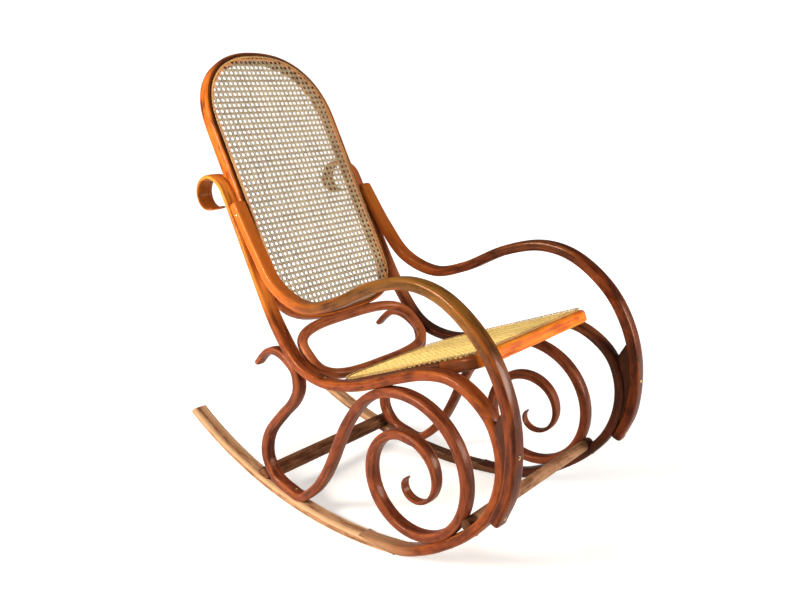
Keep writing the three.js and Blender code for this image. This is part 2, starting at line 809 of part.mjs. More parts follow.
// The two side frames
const sides = [-1, 1].map((hand) => {
  const plane = sidePlane(hand);
  const bend = sideBend(plane);
  const foot = runner(plane);
  const scroll = scrollBend(plane, bend, foot);
  const armRod = arm(plane, bend);
  return { plane, hand: hand < 0 ? 'right' : 'left', bend, foot, scroll, armRod };
});

const back = backFrame();
const rails = seatRails();
const ring = lowerRing();

function midPoint(places) {
  const sum = places.reduce((total, place) => total.add(place), vec(0, 0, 0));
  return sum.divideScalar(places.length);
}

const frontBarCentre = midPoint(sides.map(({ plane, bend }) => {
  const place = plane.atShare(frontBarShares);
  return beside(bend.line, place, plane.atShare(spiralTopShares), frontBar, frontBarNotch);
}));
const rearBarCentre = midPoint(sides.map(({ plane, foot }) => {
  const place = onRunner(plane, rearBarShare, runnerThick);
  return beside(foot.line, place, plane.atShare(earShares), rearBar, rearBarNotch);
}));
const frontHalf = spanAt(frontBarCentre.y) + bendWidth / 2 - frontBarInset;
const rearHalf = spanAt(rearBarCentre.y) + runnerWidth / 2 - rearBarInset;

// Materials
const wood = (color, roughness = 0.35) => () => (
  new THREE.MeshStandardMaterial({ color, roughness, metalness: 0 }));
const finishes = {
  bend: wood(0xb5622c),
  arm: wood(0x9a5524),
  scroll: wood(0x9c4a24),
  runner: wood(0xb8834f, 0.5),
  back: wood(0xb4591f),
  seat: wood(0xc8681c),
  bar: wood(0xa67c56, 0.5),
  backCane: wood(0xb9a27c, 0.7),
  seatCane: wood(0xe6cd84, 0.6),
};

const chair = new THREE.Group();
chair.name = 'bentwood_rocking_chair';

function add(name, geometry, finish) {
  const mesh = new THREE.Mesh(geometry, finish());
  mesh.name = name;
  chair.add(mesh);
}

sides.forEach(({ plane, hand, bend, foot, scroll, armRod }) => {
  const upright = cutBy(bend.body, back.cutter, jointBody(plane, false));
  add(`side_bend_${hand}`, upright, finishes.bend);
  add(`runner_${hand}`, cutBy(foot.body, jointBody(plane, true)), finishes.runner);
  add(`scroll_bend_${hand}`, cutBy(scroll.body, bend.cutter, foot.cutter), finishes.scroll);
  add(`arm_${hand}`, cutBy(armRod.body, bend.cutter, back.cutter), finishes.arm);
  add(`arm_block_${hand}`, armBlock(plane, bend, armRod), finishes.arm);
});

const rods = sides.flatMap(({ bend, foot, scroll }) => [bend.cutter, foot.cutter, scroll.cutter]);
add('back_frame', back.body, finishes.back);
add('back_cane', backCane(), finishes.backCane);
add('back_binder', backBinder(), finishes.seatCane);
add('lower_ring', cutBy(ring.body, back.cutter, ...sides.map(({ bend }) => bend.cutter)), finishes.scroll);
add('seat_front_rail', rails.front, finishes.seat);
add('seat_rear_rail', rails.rear, finishes.seat);
add('seat_side_rail_right', rails.right, finishes.seat);
add('seat_side_rail_left', rails.left, finishes.seat);
add('seat_cane', seatCane(), finishes.seatCane);
add('seat_binder', seatBinder(), finishes.seatCane);
add('front_stretcher', cutBy(bar(frontBarCentre, frontHalf, frontBar), ...rods), finishes.bar);
add('rear_stretcher', cutBy(bar(rearBarCentre, rearHalf, rearBar), ...rods), finishes.bar);

// Everything moves so that the origin lies below the middle of the whole
const whole = new THREE.Box3().setFromObject(chair);
const middle = whole.getCenter(vec(0, 0, 0));
chair.children.forEach(({ geometry }) => geometry.translate(-middle.x, -middle.y, -whole.min.z));

export default chair;
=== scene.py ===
"""The looks of a bentwood rocking chair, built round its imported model.

X runs across the chair, Y to the rear, Z up; lengths are metres.
A place in a side frame's plane is given as rear, up and out.
"""

import math
from collections import namedtuple

import bpy
import numpy as np
from mathutils import Matrix


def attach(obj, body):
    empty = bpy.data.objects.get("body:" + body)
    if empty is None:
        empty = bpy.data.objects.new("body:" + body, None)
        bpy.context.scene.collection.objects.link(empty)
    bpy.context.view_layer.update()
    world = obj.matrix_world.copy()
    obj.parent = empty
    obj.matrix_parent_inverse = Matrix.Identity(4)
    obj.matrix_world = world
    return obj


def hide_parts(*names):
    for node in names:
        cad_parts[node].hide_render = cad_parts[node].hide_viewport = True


bl_info = {
    "name": "Bentwood Rocking Chair",
    "version": (1, 0, 0),
    "blender": (4, 5, 0),
    "location": "3D View > Sidebar > Chair",
    "description": "Builds a caned bentwood rocking chair round its packed model",
    "category": "Add Mesh",
}

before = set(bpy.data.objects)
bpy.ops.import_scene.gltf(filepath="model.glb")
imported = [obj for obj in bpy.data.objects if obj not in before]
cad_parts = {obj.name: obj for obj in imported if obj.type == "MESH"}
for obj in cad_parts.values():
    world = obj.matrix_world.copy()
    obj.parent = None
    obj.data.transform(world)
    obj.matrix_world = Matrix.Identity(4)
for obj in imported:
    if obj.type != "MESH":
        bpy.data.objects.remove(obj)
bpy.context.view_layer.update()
BODY = "root"
HANDS = {"right": -1, "left": 1}
OUT = (0.0, 0.0, 1.0)
ACROSS = np.array([1.0, 0, 0])

# Outlines of a side frame, in shares of its depth and height
EAR_SHARES = (0.390, 0.949)
UPRIGHT_SHARES = ((0.3245, 0.940), (0.2529, 0.743))
SIDE_BEND_SHARES = (
    (0.187, 0.579), (0.120, 0.478), (0.042, 0.447), (-0.058, 0.465), (-0.169, 0.518),
    (-0.245, 0.549), (-0.306, 0.553), (-0.358, 0.522), (-0.397, 0.471), (-0.417, 0.397),
    (-0.415, 0.313), (-0.390, 0.229), (-0.343, 0.158), (-0.284, 0.099), (-0.231, 0.060),
)
ARC_SHARE = -0.180
JOINT_FRONT_SHARE = -0.163
JOINT_REAR_SHARE = -0.060
RUNNER_END_SHARE = 0.5235
REST_SHARE = -0.0127
HOOK_SHARES = ((0.259, 0.451), (0.241, 0.475), (0.221, 0.494), (0.196, 0.501), (0.172, 0.495), (0.153, 0.482))
HOOK_TOUCH_SHARES = (0.121, 0.483)
LOOP_SHARES = (
    (0.126, 0.429), (0.128, 0.394), (0.147, 0.353), (0.184, 0.306), (0.235, 0.230), (0.250, 0.171),
    (0.245, 0.130), (0.220, 0.086),
)
STAND_SHARES = (0.178, 0.145)
ARCH_SHARES = (
    (0.091, 0.097), (0.055, 0.152), (0.026, 0.218), (0.005, 0.275), (-0.028, 0.353), (-0.078, 0.430),
)
SPIRAL_TOP_SHARES = (-0.120, 0.493)
SPIRAL_FOOT_SHARES = (-0.296, 0.109)
SPIRAL_END_SHARE = 0.088
SPIRAL_DRIFT_SHARES = (-0.090, -0.080)
ARM_TOP_SHARES = (0.315, 0.914)
ARM_SHARES = (
    (0.237, 0.797), (0.175, 0.701), (0.084, 0.658), (-0.005, 0.684), (-0.122, 0.753), (-0.216, 0.778),
    (-0.294, 0.756), (-0.376, 0.675), (-0.423, 0.578), (-0.4468, 0.461), (-0.441, 0.318),
)
ARM_FOOT_SHARES = (-0.396, 0.240)
WEDGE_FOOT_SHARE = 0.29
WEDGE_TOP_SHARE = 0.49
BACK_FOOT_SHARE = 0.5597
SEAT_FRONT_SHARES = (-0.353, 0.622)
SEAT_REAR_SHARES = (0.0565, 0.4274)
FRONT_BAR_SHARES = (-0.351, 0.1723)
REAR_BAR_SHARE = 0.270
# The back rail's section: shares of half its thickness, outwards, and of half its depth, forwards
BACK_SECTION_SHARES = np.array((
    (0.99, -0.55), (1.0, -0.10), (1.0, 0.35), (0.97, 0.66), (0.90, 0.84), (0.80, 0.95), (0.68, 1.0),
    (0.56, 0.985), (0.47, 0.93), (0.42, 0.84), (0.36, 0.805), (0.29, 0.84), (0.24, 0.90), (0.16, 0.925),
    (-0.20, 0.93), (-0.60, 0.92), (-0.80, 0.86), (-0.93, 0.74), (-0.99, 0.55), (-1.0, 0.10), (-0.99, -0.45),
    (-0.93, -0.74), (-0.78, -0.91), (-0.55, -0.99), (-0.10, -1.0), (0.40, -1.0), (0.70, -0.95), (0.90, -0.80),
))
# A strand's section, in shares of its width and thickness: flat below and domed above
STRAND_SECTION_SHARES = np.array(((-0.5, -0.5), (0.5, -0.5), (0.42, 0.2), (0.0, 0.5), (-0.42, 0.2)))

# Angles of the ear and of the spiral
EAR_START, EAR_TURN = math.radians(158), math.radians(272)
SPIRAL_START, SPIRAL_TURN, SPIRAL_FOOT_TURN = math.radians(67), math.radians(684), math.radians(160)
SPIRAL_DRAWN = 0.957 * SPIRAL_TURN

# Fits between the pieces: how deep rods are planed into each other, the same at the spiral's foot,
# between pieces that touch, and the end of the slanted glue joint
BITE, FOOT_BITE, CLEARANCE, FEATHER = 0.002, 0.0024, 0.0003, 0.0012
# The ear widens by this much, and is this thin at its very end
EAR_LEAD, EAR_TIP = 0.020, 0.006
# The uprights are let into the back this far, and it lies this far before them
BACK_HALVING, BACK_FORWARD = 0.006, 0.002
# The lower ring's upper bar lies forward and is hollowed, its lower bar rises, and its sides keep clear
RING_FORWARD, RING_COPE, RING_RISE, RING_AIR = 0.0096, 0.004, 0.003, 0.0015
# How deep each stretcher is notched, and how far its ends stay inside the rods' faces
BAR_FITS = {"front": (0.009, 0.0045), "rear": (0.017, 0.007)}
BAR_DOME = 0.0035
# The wedge's top slopes down over this height, and the wedge is at least this deep
WEDGE_SLOPE, WEDGE_SLOPE_REACH, WEDGE_LEAST = 1.1, 0.06, 0.003
# The ends of strands dive over this length and this deep
DIVE_REACH, DIVE_DEPTH = 0.003, 0.0025

# Half the height of the waves in the level rows, and how many stations a strand has at least
LEVEL_WAVE, LEAST_STATIONS = 0.00005, 8
SCREW_RADIUS = 0.0042
# Added to the direction of each screw's slot, so that the slots don't line up with the rods
SCREW_TWIST = 0.3 * np.array([1.0, 0.4, 0])

ROD_STEP = 0.003
HOOP_STEP = 0.004
BACK_STEP = 0.0035
BINDER_STEP = 0.003
ROD_SIDES = 26
# The far side takes darker copies of the finishes: painted shade
FINISH_OF = {
    "right": {"bend": "varnish", "arm": "arm", "runner": "bare"},
    "left": {"bend": "far_varnish", "arm": "far_arm", "runner": "far_bare"},
}
# How strongly the arms' upper ends are lightened with painted light, on the near and the far side
ARM_PAINTED_LIGHT = {"right": 0.95, "left": 0.50}
EAR_RUN_SHARE = 0.062


# Properties

def amount(name, text, default, **kind):
    """A property that is a plain number."""
    return bpy.props.FloatProperty(name=name, description=text, default=default, **kind)


def length(name, text, default):
    """A property in metres."""
    return amount(name, text, default, unit="LENGTH", precision=4)


def colour(name, text, default):
    """A property that is a linear colour."""
    return bpy.props.FloatVectorProperty(
        name=name, description=text, default=(*default, 1.0), size=4, subtype="COLOR", min=0, max=1)


class ChairFrameSizes(bpy.types.PropertyGroup):
    """Sizes of the whole and of its side frames"""
    depth: length("Outline depth", "What the side frames' rear shares are taken of", 1.02)
    height: length("Outline height", "What the side frames' height shares are taken of", 0.77)
    half_span: length("Half span", "From the chair's middle to a side frame's plane", 0.224)
    splay: amount("Splay", "How far the side frames close to the rear", math.radians(2.2), subtype="ANGLE")
    middle: length("Middle", "From the side frames' origin to the chair's middle", 0.0319)
    rock_radius: length("Rocker radius", "Radius of the rolling edge", 1.015)


class ChairRodSizes(bpy.types.PropertyGroup):
    """Sections of the bent rods: width is across the chair"""
    bend_width: length("Side bend width", "Along the seat", 0.034)
    bend_thick: length("Side bend thickness", "Along the seat", 0.022)
    ear_width: length("Ear width", "Flattened end of the side bend", 0.042)
    ear_thick: length("Ear thickness", "Flattened end of the side bend", 0.012)
    ear_radius: length("Ear radius", "Radius of the curled ear", 0.035)
    upright_width: length("Upright width", "Side bend beside the back", 0.036)
    upright_thick: length("Upright thickness", "Side bend beside the back", 0.016)
    runner_width: length("Runner width", "At the front", 0.038)
    runner_thick: length("Runner thickness", "At the front", 0.022)
    tail_width: length("Tail width", "At the runner's rear end", 0.042)
    tail_thick: length("Tail thickness", "At the runner's rear end", 0.014)
    arm_width: length("Arm width", "All along", 0.033)
    arm_thick: length("Arm thickness", "All along", 0.024)
    arm_out: length("Arm offset", "The arms run this far outside", 0.010)
    arm_top_out: length("Arm top offset", "The same at the upper end", 0.002)
    wedge_width: length("Wedge width", "Behind an arm's front", 0.026)
    scroll_width: length("Scroll width", "All along", 0.031)
    scroll_thick: length("Scroll thickness", "All along", 0.021)
    hook_width: length("Hook width", "At the scroll's upper end", 0.026)
    hook_thick: length("Hook thickness", "At the scroll's upper end", 0.013)
    tip_width: length("Tip width", "At the spiral's inner end", 0.022)
    tip_thick: length("Tip thickness", "At the spiral's inner end", 0.005)
    front_bar: length("Front bar", "Diameter of the front stretcher", 0.026)
    rear_bar: length("Rear bar", "Diameter of the rear stretcher", 0.038)


class ChairPanelSizes(bpy.types.PropertyGroup):
    """Sizes of the back, the ring below it and the seat"""
    back_length: length("Back length", "Of the back frame", 0.6859)
    arch_height: length("Arch height", "Of the back frame's rounded top", 0.192)
    foot_height: length("Foot height", "Of its rounded lower end", 0.120)
    arch_squareness: amount("Arch squareness", "2 is an ellipse", 2.3)
    foot_squareness: amount("Foot squareness", "2 is an ellipse", 3.0)
    back_rail: length("Back rail", "Its thickness, seen from the front", 0.023)
    back_deep: length("Back depth", "From its front to its rear", 0.032)
    ring_tube: length("Ring tube", "Diameter of the lower ring's rod", 0.024)
    ring_squareness: amount("Ring squareness", "2 is an ellipse", 3.3)
    seat_thick: length("Seat thickness", "Of the seat's rails", 0.028)
    seat_side: length("Seat side rail", "Its width", 0.040)
    seat_front: length("Seat front rail", "Its width", 0.046)
    seat_rear: length("Seat rear rail", "Its width", 0.044)
    front_corner: length("Front corner", "Radius of the seat's front corners", 0.050)
    rear_corner: length("Rear corner", "Radius of the seat's rear corners", 0.090)
    inner_corner: length("Inner corner", "Radius at the opening's front", 0.020)
    inner_rear_corner: length("Inner rear corner", "Radius at the opening's rear", 0.050)
    front_reach: length("Front reach", "How far the front rail turns back", 0.104)
    rear_reach: length("Rear reach", "How far the rear rail turns forward", 0.112)


class ChairCaneSizes(bpy.types.PropertyGroup):
    """Sizes of the woven cane"""
    pitch: length("Pitch", "From one pair of strands to the next", 0.0139)
    pair: length("Pair", "Half the distance between a pair's strands", 0.0014)
    strand: length("Strand", "Width of a straight strand", 0.0021)
    diagonal: length("Diagonal", "Width of a slanted strand", 0.0023)
    strand_thick: length("Strand thickness", "Of every strand", 0.0009)
    inset: length("Inset", "From the frame's edge to the cane's holes", 0.0125)
    binder: length("Binder", "Width of the strip over the holes", 0.0042)
    binder_thick: length("Binder thickness", "Of that strip", 0.0015)
    lift: length("Lift", "Of the cane's middle above the frame's face", 0.0013)


class ChairColours(bpy.types.PropertyGroup):
    """Colours of the finishes"""
    arm_dark: colour("Arm, dark", "Deepest tone of the arms", (0.02, 0.005, 0.003))
    arm_mid: colour("Arm, middle", "Main tone of the arms", (0.115, 0.02, 0.005))
    arm_light: colour("Arm, light", "Worn tone of the arms", (0.36, 0.082, 0.014))
    # The back frame's main tone, also the painted light on the arms' upper ends
    hoop_mid: colour("Back frame, middle", "Main tone of the back frame", (0.5, 0.112, 0.014))
    # Painted light on the side bends' upper parts, and the back frame's light tone
    golden: colour("Golden wood", "Sun-bleached upper parts of the side bends", (0.8, 0.235, 0.028))
    # Painted reflection on the arms' upper parts
    olive: colour("Olive wood", "Upper parts of the arms", (0.34, 0.16, 0.024))
    # Painted shade: the far side, the hoop's top, the wedges, the seat's side and rear rails, the bars' ends
    # and the far runner's front
    night: colour("Blackened wood", "Far parts and the hoop's top", (0.045, 0.016, 0.009))
    # Strands over the back frame: varnish, and painted reflection of the orange wood beneath
    cane_stain: colour("Stained cane", "Strands that lie on the back frame", (0.8, 0.36, 0.14))
    varnish_dark: colour("Varnish, dark", "Deepest tone of the side frames", (0.042, 0.01, 0.004))
    varnish_mid: colour("Varnish, middle", "Main tone of the side frames", (0.19, 0.036, 0.009))
    varnish_light: colour("Varnish, light", "Worn tone of the side frames", (0.42, 0.11, 0.02))
    # Deepest tone of the scrolls, also painted shade at the seat's corners and under the back's cane, and the
    # back's groove tone
    scroll_dark: colour("Scroll, dark", "Deepest tone of the scrolls", (0.036, 0.01, 0.006))
    scroll_mid: colour("Scroll, middle", "Main tone of the scrolls", (0.15, 0.031, 0.012))
    # Worn tone of the scrolls, also painted light on the far side bends' upper parts
    scroll_light: colour("Scroll, light", "Worn tone of the scrolls", (0.36, 0.1, 0.036))
    seat_dark: colour("Seat, dark", "Deepest tone of the seat frame", (0.5, 0.07, 0.008))
    seat_mid: colour("Seat, middle", "Main tone of the seat frame", (0.9, 0.195, 0.01))
    seat_light: colour("Seat, light", "Worn tone of the seat frame", (1.0, 0.5, 0.05))
    bare_dark: colour("Bare wood, dark", "Dirt in the worn runners", (0.13, 0.05, 0.022))
    bare_mid: colour("Bare wood, middle", "Main tone of the worn runners", (0.36, 0.185, 0.095))
    bare_light: colour("Bare wood, light", "Rubbed wood of the runners", (0.66, 0.4, 0.22))
    back_cane: colour("Back cane", "Aged strands", (0.6, 0.48, 0.29))
    back_cane_dark: colour("Back cane, dark", "Shaded side of those strands", (0.27, 0.19, 0.105))
    seat_cane: colour("Seat cane", "Pale strands", (0.92, 0.7, 0.25))
    seat_cane_dark: colour("Seat cane, dark", "Shaded side of those strands", (0.62, 0.4, 0.11))
    binder_cane: colour("Binder", "Strip over the holes", (0.74, 0.4, 0.13))
    brass: colour("Screws", "Old brass", (0.62, 0.45, 0.20))
    floor: colour("Floor", "Studio floor", (0.90, 0.90, 0.90))


GROUPS = {
    "chair_frame": ChairFrameSizes, "chair_rods": ChairRodSizes, "chair_panels": ChairPanelSizes,
    "chair_cane": ChairCaneSizes, "chair_colours": ChairColours,
}


class Settings:
    """Reads a setting from whichever of the scene's groups holds it."""

    def __getattr__(self, name):
        for slot, group in GROUPS.items():
            if name in group.__annotations__:
                return getattr(getattr(bpy.context.scene, slot), name)
        raise AttributeError(name)


chair = Settings()


# Curves

def smooth_curve(points, divisions=1200):
    """Centripetal spline: each span is a cubic whose slopes follow the square root of the gaps."""
    points = np.vstack([2 * points[0] - points[1], points, 2 * points[-1] - points[-2]])
    spans = len(points) - 3
    at = np.linspace(0, spans, divisions + 1)
    k = np.minimum(at.astype(int), spans - 1)
    w = (at - k)[:, None]
    a, b, c, d = (points[k + i] for i in range(4))
    ab, bc, cd = (np.linalg.norm(q - p, axis=1)[:, None] ** 0.5 for p, q in ((a, b), (b, c), (c, d)))
    start = ((b - a) / ab - (c - a) / (ab + bc) + (c - b) / bc) * bc
    end = ((c - b) / bc - (d - b) / (bc + cd) + (d - c) / cd) * bc
    rest = c - b
    return b + start * w + (3 * rest - 2 * start - end) * w ** 2 + (start + end - 2 * rest) * w ** 3


def run_length(line):
    """Distance along a line at each of its points."""
    steps = np.linalg.norm(np.diff(line, axis=0), axis=1)
    return np.concatenate([[0], np.cumsum(steps)])


def resampled(line, step, closed=False):
    """Points at equal distances along a line."""
    if closed:
        line = np.vstack([line, line[:1]])
    run = run_length(line)
    at = np.linspace(0, run[-1], max(int(round(run[-1] / step)), 8) + 1)
    even = np.stack([np.interp(at, run, column) for column in line.T], axis=1)
    return even[:-1] if closed else even


def unit(vectors):
    """Vectors brought to length 1."""
    return vectors / np.linalg.norm(vectors, axis=-1, keepdims=True)


def directions(line, closed=False):
    """Direction of a line at each of its points: from the point before to the point after."""
    if closed:
        return unit(np.roll(line, -1, axis=0) - np.roll(line, 1, axis=0))
    return unit(np.vstack([line[1:], line[-1:]]) - np.vstack([line[:1], line[:-1]]))


def tapered(rows, shares):
    """Width and thickness at shares of a rod's length, eased between rows of share and sizes."""
    rows = np.asarray(rows, float)
    k = np.clip(np.searchsorted(rows[:, 0], shares), 1, len(rows) - 1)
    t = np.clip((shares - rows[k - 1, 0]) / (rows[k, 0] - rows[k - 1, 0]), 0, 1)
    t = (t * t * (3 - 2 * t))[:, None]
    return rows[k - 1, 1:] * (1 - t) + rows[k, 1:] * t


def rounded(angle, squareness):
    """A point of a bowed square of half size 1: powers of the cosine and the sine."""
    return tuple(np.sign(part) * np.abs(part) ** (2 / squareness) for part in (np.cos(angle), np.sin(angle)))


def section(sides, squareness, sharpness=2):
    """A bowed square, and a field that is 1 on its corners, where hands and shoes rub, and 0 on its faces."""
    u, v = rounded((np.arange(sides) + 0.5) * 2 * math.pi / sides, squareness)
    return u, v, (np.abs(u * v) / np.abs(u * v).max()) ** sharpness


# Meshes

def set_mesh(mesh, points, faces, fields):
    """Fills a mesh from arrays of points, of faces given as lists of corners, and of point fields."""
    loops = np.concatenate([part.ravel() for part in faces])
    sizes = np.concatenate([np.full(len(part), part.shape[1]) for part in faces])
    starts = np.concatenate([[0], np.cumsum(sizes)[:-1]])
    for data, count, values in (
            (mesh.vertices, len(points), {"co": points.astype(np.float32).ravel()}),
            (mesh.loops, len(loops), {"vertex_index": loops.astype(np.int32)}),
            (mesh.polygons, len(sizes), {
                "loop_start": starts.astype(np.int32), "loop_total": sizes.astype(np.int32),
                "use_smooth": np.ones(len(sizes), bool)})):
        data.add(count)
        for key, column in values.items():
            data.foreach_set(key, column)
    for name, values in fields.items():
        wide = values.ndim == 2
        layer = mesh.attributes.new(name, "FLOAT_VECTOR" if wide else "FLOAT", "POINT")
        layer.data.foreach_set("vector" if wide else "value", values.astype(np.float32).ravel())
    mesh.update(calc_edges=True)
    mesh.validate()


def volume_sign(points, faces):
    """Sign of the volume inside the faces, each taken as a fan of triangles."""
    offset = points - points.mean(axis=0)
    total = sum(
        np.einsum("ij,ij->", offset[part[:, 0]], np.cross(offset[part[:, k]], offset[part[:, k + 1]]))
        for part in faces for k in range(1, part.shape[1] - 1))
    return 1 if total > 0 else -1


def add_mesh(name, points, faces, fields, finish_name):
    """A new object with a finish."""
    mesh = bpy.data.meshes.new(name)
    set_mesh(mesh, points, faces, fields)
    mesh.materials.append(finish(finish_name))
    piece = bpy.data.objects.new(name, mesh)
    bpy.context.scene.collection.objects.link(piece)
    return piece


def add_piece(name, points, faces, fields, finish_name, node_name=None, slot=None, seed=0.0):
    """A finished piece whose faces point outwards, riding on the chair, cut from its own place in the log."""
    if volume_sign(points, faces) < 0:
        faces = [part[:, ::-1] for part in faces]
    fields["timber"] = fields["timber"] + seed * np.array([3.7, 1.9, 2.3])
    piece = add_mesh(name, points, faces, fields, finish_name)
    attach(piece, BODY)
    if node_name:
        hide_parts(node_name)


def bundled(parts):
    """Many loose parts, each given as points, faces and fields, as one."""
    firsts = np.cumsum([0] + [len(points) for points, _, _ in parts])
    faces = [first + face for first, (_, some, _) in zip(firsts, parts) for face in some]
    fields = {name: np.concatenate([part[2][name] for part in parts]) for name in parts[0][2]}
    return np.vstack([points for points, _, _ in parts]), faces, fields


def tube_faces(rings, sides, ends="fans"):
    """Quads between neighbouring rings; the ends are fans round a middle point each, flat or joined."""
    i = np.arange(rings if ends == "joined" else rings - 1)[:, None] * sides
    j = np.arange(sides)
    ahead, there, last = (j + 1) % sides, (i + sides) % (rings * sides), (rings - 1) * sides
    quads = np.stack([i + j, i + ahead, there + ahead, there + j], axis=-1).reshape(-1, 4)
    if ends == "joined":
        return [quads]
    if ends == "flat":
        return [quads, j[None, ::-1], last + j[None]]
    middle = np.full(sides, rings * sides)
    return [quads, np.stack([middle, ahead, j], 1), np.stack([middle + 1, last + j, last + ahead], 1)]


def swept(line, up, u, v, closed=False):
    """Sections carried along a line, each point u aside and v towards up.

    The second array holds each point's place in the straight piece: its run, u and v.
    """
    along = directions(line, closed)
    side = unit(np.cross(along, up))
    top = unit(np.cross(side, along))
    run, u, v = np.broadcast_arrays(run_length(line)[:, None], u, v)
    grid = line[:, None] + side[:, None] * u[..., None] + top[:, None] * v[..., None]
    return grid, np.stack([run, u, v], axis=-1)


def tube(points, timber, ridge, closed=False, tip=0.5):
    """A tube's points, faces and fields; an open one gets a middle point at each end."""
    faces = tube_faces(*points.shape[:2], "joined" if closed else "fans")
    ridge = np.broadcast_to(ridge, points.shape[:2]).ravel()
    fields = {"timber": timber.reshape(-1, 3), "ridge": ridge}
    flat_points = points.reshape(-1, 3)
    if not closed:
        flat_points = np.vstack([flat_points, points[[0, -1]].mean(axis=1)])
        fields["timber"] = np.vstack([fields["timber"], timber[[0, -1]].mean(axis=1)])
        fields["ridge"] = np.append(ridge, [tip, tip])
    return flat_points, faces, fields


def domed_end(line, sizes, depth):
    """A rounded last end: stations that shrink along a quarter circle of this depth."""
    if not depth:
        return line, sizes
    angles = np.radians([12, 24, 36, 48, 60, 70, 79])[:, None]
    more = line[-1] + unit(line[-1] - line[-2]) * depth * np.sin(angles)
    less = np.maximum(sizes[-1] - 2 * depth * (1 - np.cos(angles)), 0.0004)
    return np.vstack([line, more]), np.vstack([sizes, less])


def rod_grid(line, sizes, outward, squareness, sides=ROD_SIDES, closed=False, depths=(0, 0)):
    """Bowed rectangles carried along a line, wide along outward and thick across it.

    The field timber holds run, width and thickness in the straight rod before it was bent.
    """
    for depth in depths:
        line, sizes = domed_end(line[::-1], sizes[::-1], depth)
    u, v, ridge = section(sides, squareness)
    points, timber = swept(line, outward, sizes[:, 1:] / 2 * v, sizes[:, :1] / 2 * u, closed)
    return tube(points, timber[..., [0, 2, 1]], ridge, closed)


def to_chair(points, hand):
    """Turns rear, up and out in a side frame's plane into X, Y and Z."""
    sin, cos = math.sin(chair.splay), math.cos(chair.splay)
    rear, up, out = points.T
    x = hand * (chair.half_span - rear * sin + out * cos)
    return np.stack([x, rear * cos + out * sin - chair.middle, up], axis=1)


def span_at(y):
    """Half the distance between the side frames' planes."""
    return chair.half_span - (y + chair.middle) * math.tan(chair.splay)


def flat(pairs):
    """Shares of the side frame's depth and height as places in its plane."""
    pairs = np.atleast_2d(np.asarray(pairs, float))
    return np.column_stack([pairs[:, 0] * chair.depth, pairs[:, 1] * chair.height, np.zeros(len(pairs))])


def spot(pair):
    """One pair of shares as a place."""
    return flat(pair)[0]


# Centre lines of the rods, in a side frame's plane

def on_arc(angle, thick, lift=0.0):
    """The runner's centre line: a circle about a point above the place where it is lowest."""
    radius = chair.rock_radius - thick / 2 - lift
    rear = REST_SHARE * chair.depth + radius * np.sin(angle)
    up = chair.rock_radius - radius * np.cos(angle)
    return np.stack(np.broadcast_arrays(rear, up, np.zeros_like(rear)), axis=-1)


def rock_angle(rear_share):
    """The angle on the runner's arc at a share of the depth."""
    return np.arcsin((np.asarray(rear_share) - REST_SHARE) * chair.depth / chair.rock_radius)


def rod(points, rows):
    """A smooth rod through points: its centre line and its width and thickness."""
    line = resampled(smooth_curve(np.vstack(points)), ROD_STEP)
    run = run_length(line)
    return line, tapered(rows, run / run[-1])


def beside(line, sizes, place, towards, thick, depth):
    """The centre of a rod that touches another at a place, on the side that towards points to."""
    k = np.argmin(np.linalg.norm(line - place, axis=1))
    normal = np.cross(directions(line)[k], OUT)
    side = np.sign(normal @ (towards - line[k]))
    return line[k] + normal * side * ((sizes[k, 1] + thick) / 2 - depth)


def side_bend_line():
    """Ear, upright, seat side and front curve; the ear opens with the fifth power of its turn."""
    turned = np.linspace(0, 1, 13)
    radius, angle = chair.ear_radius + EAR_LEAD * turned ** 5, EAR_START - EAR_TURN * (1 - turned)
    ear = spot(EAR_SHARES) + np.column_stack([radius * np.cos(angle), radius * np.sin(angle), 0 * angle])
    arc = on_arc(rock_angle(np.linspace(ARC_SHARE, JOINT_REAR_SHARE, 4)), chair.runner_thick)
    upright = chair.upright_width, chair.upright_thick
    bend = chair.bend_width, chair.bend_thick
    runner = chair.runner_width, chair.runner_thick
    return rod([ear, flat(UPRIGHT_SHARES), flat(SIDE_BEND_SHARES), arc], (
        (0, chair.ear_width, EAR_TIP), (0.1, chair.ear_width, chair.ear_thick),
        (0.18, *upright), (0.22, *upright), (0.32, *bend), (0.78, *bend), (0.9, *runner), (1, *runner)))


def runner_line():
    """Along the floor from the front of the glue joint to the tail."""
    share = np.linspace(0, 1, 141)
    front = chair.runner_width, chair.runner_thick
    sizes = tapered(((0, *front), (0.35, *front), (1, chair.tail_width, chair.tail_thick)), share)
    angle = rock_angle(JOINT_FRONT_SHARE) * (1 - share) + rock_angle(RUNNER_END_SHARE) * share
    return on_arc(angle, sizes[:, 1]), sizes


def unit_spiral(turned):
    """A spiral with a first radius of 1 whose centre drifts with the square of the turn."""
    share = turned / SPIRAL_TURN
    radius = 1 + (SPIRAL_END_SHARE - 1) * share
    return radius * np.exp(1j * (SPIRAL_START + turned)) + complex(*SPIRAL_DRIFT_SHARES) * share ** 2


def spiral(top, foot):
    """The spiral, turned and sized so that it starts at top and passes foot later on."""
    grown = complex(*(foot - top)[:2]) / (unit_spiral(SPIRAL_FOOT_TURN) - unit_spiral(0.0))
    offset = (unit_spiral(np.linspace(0, SPIRAL_DRAWN, 49)) - unit_spiral(0.0)) * grown
    return top + np.column_stack([offset.real, offset.imag, 0 * offset.real])


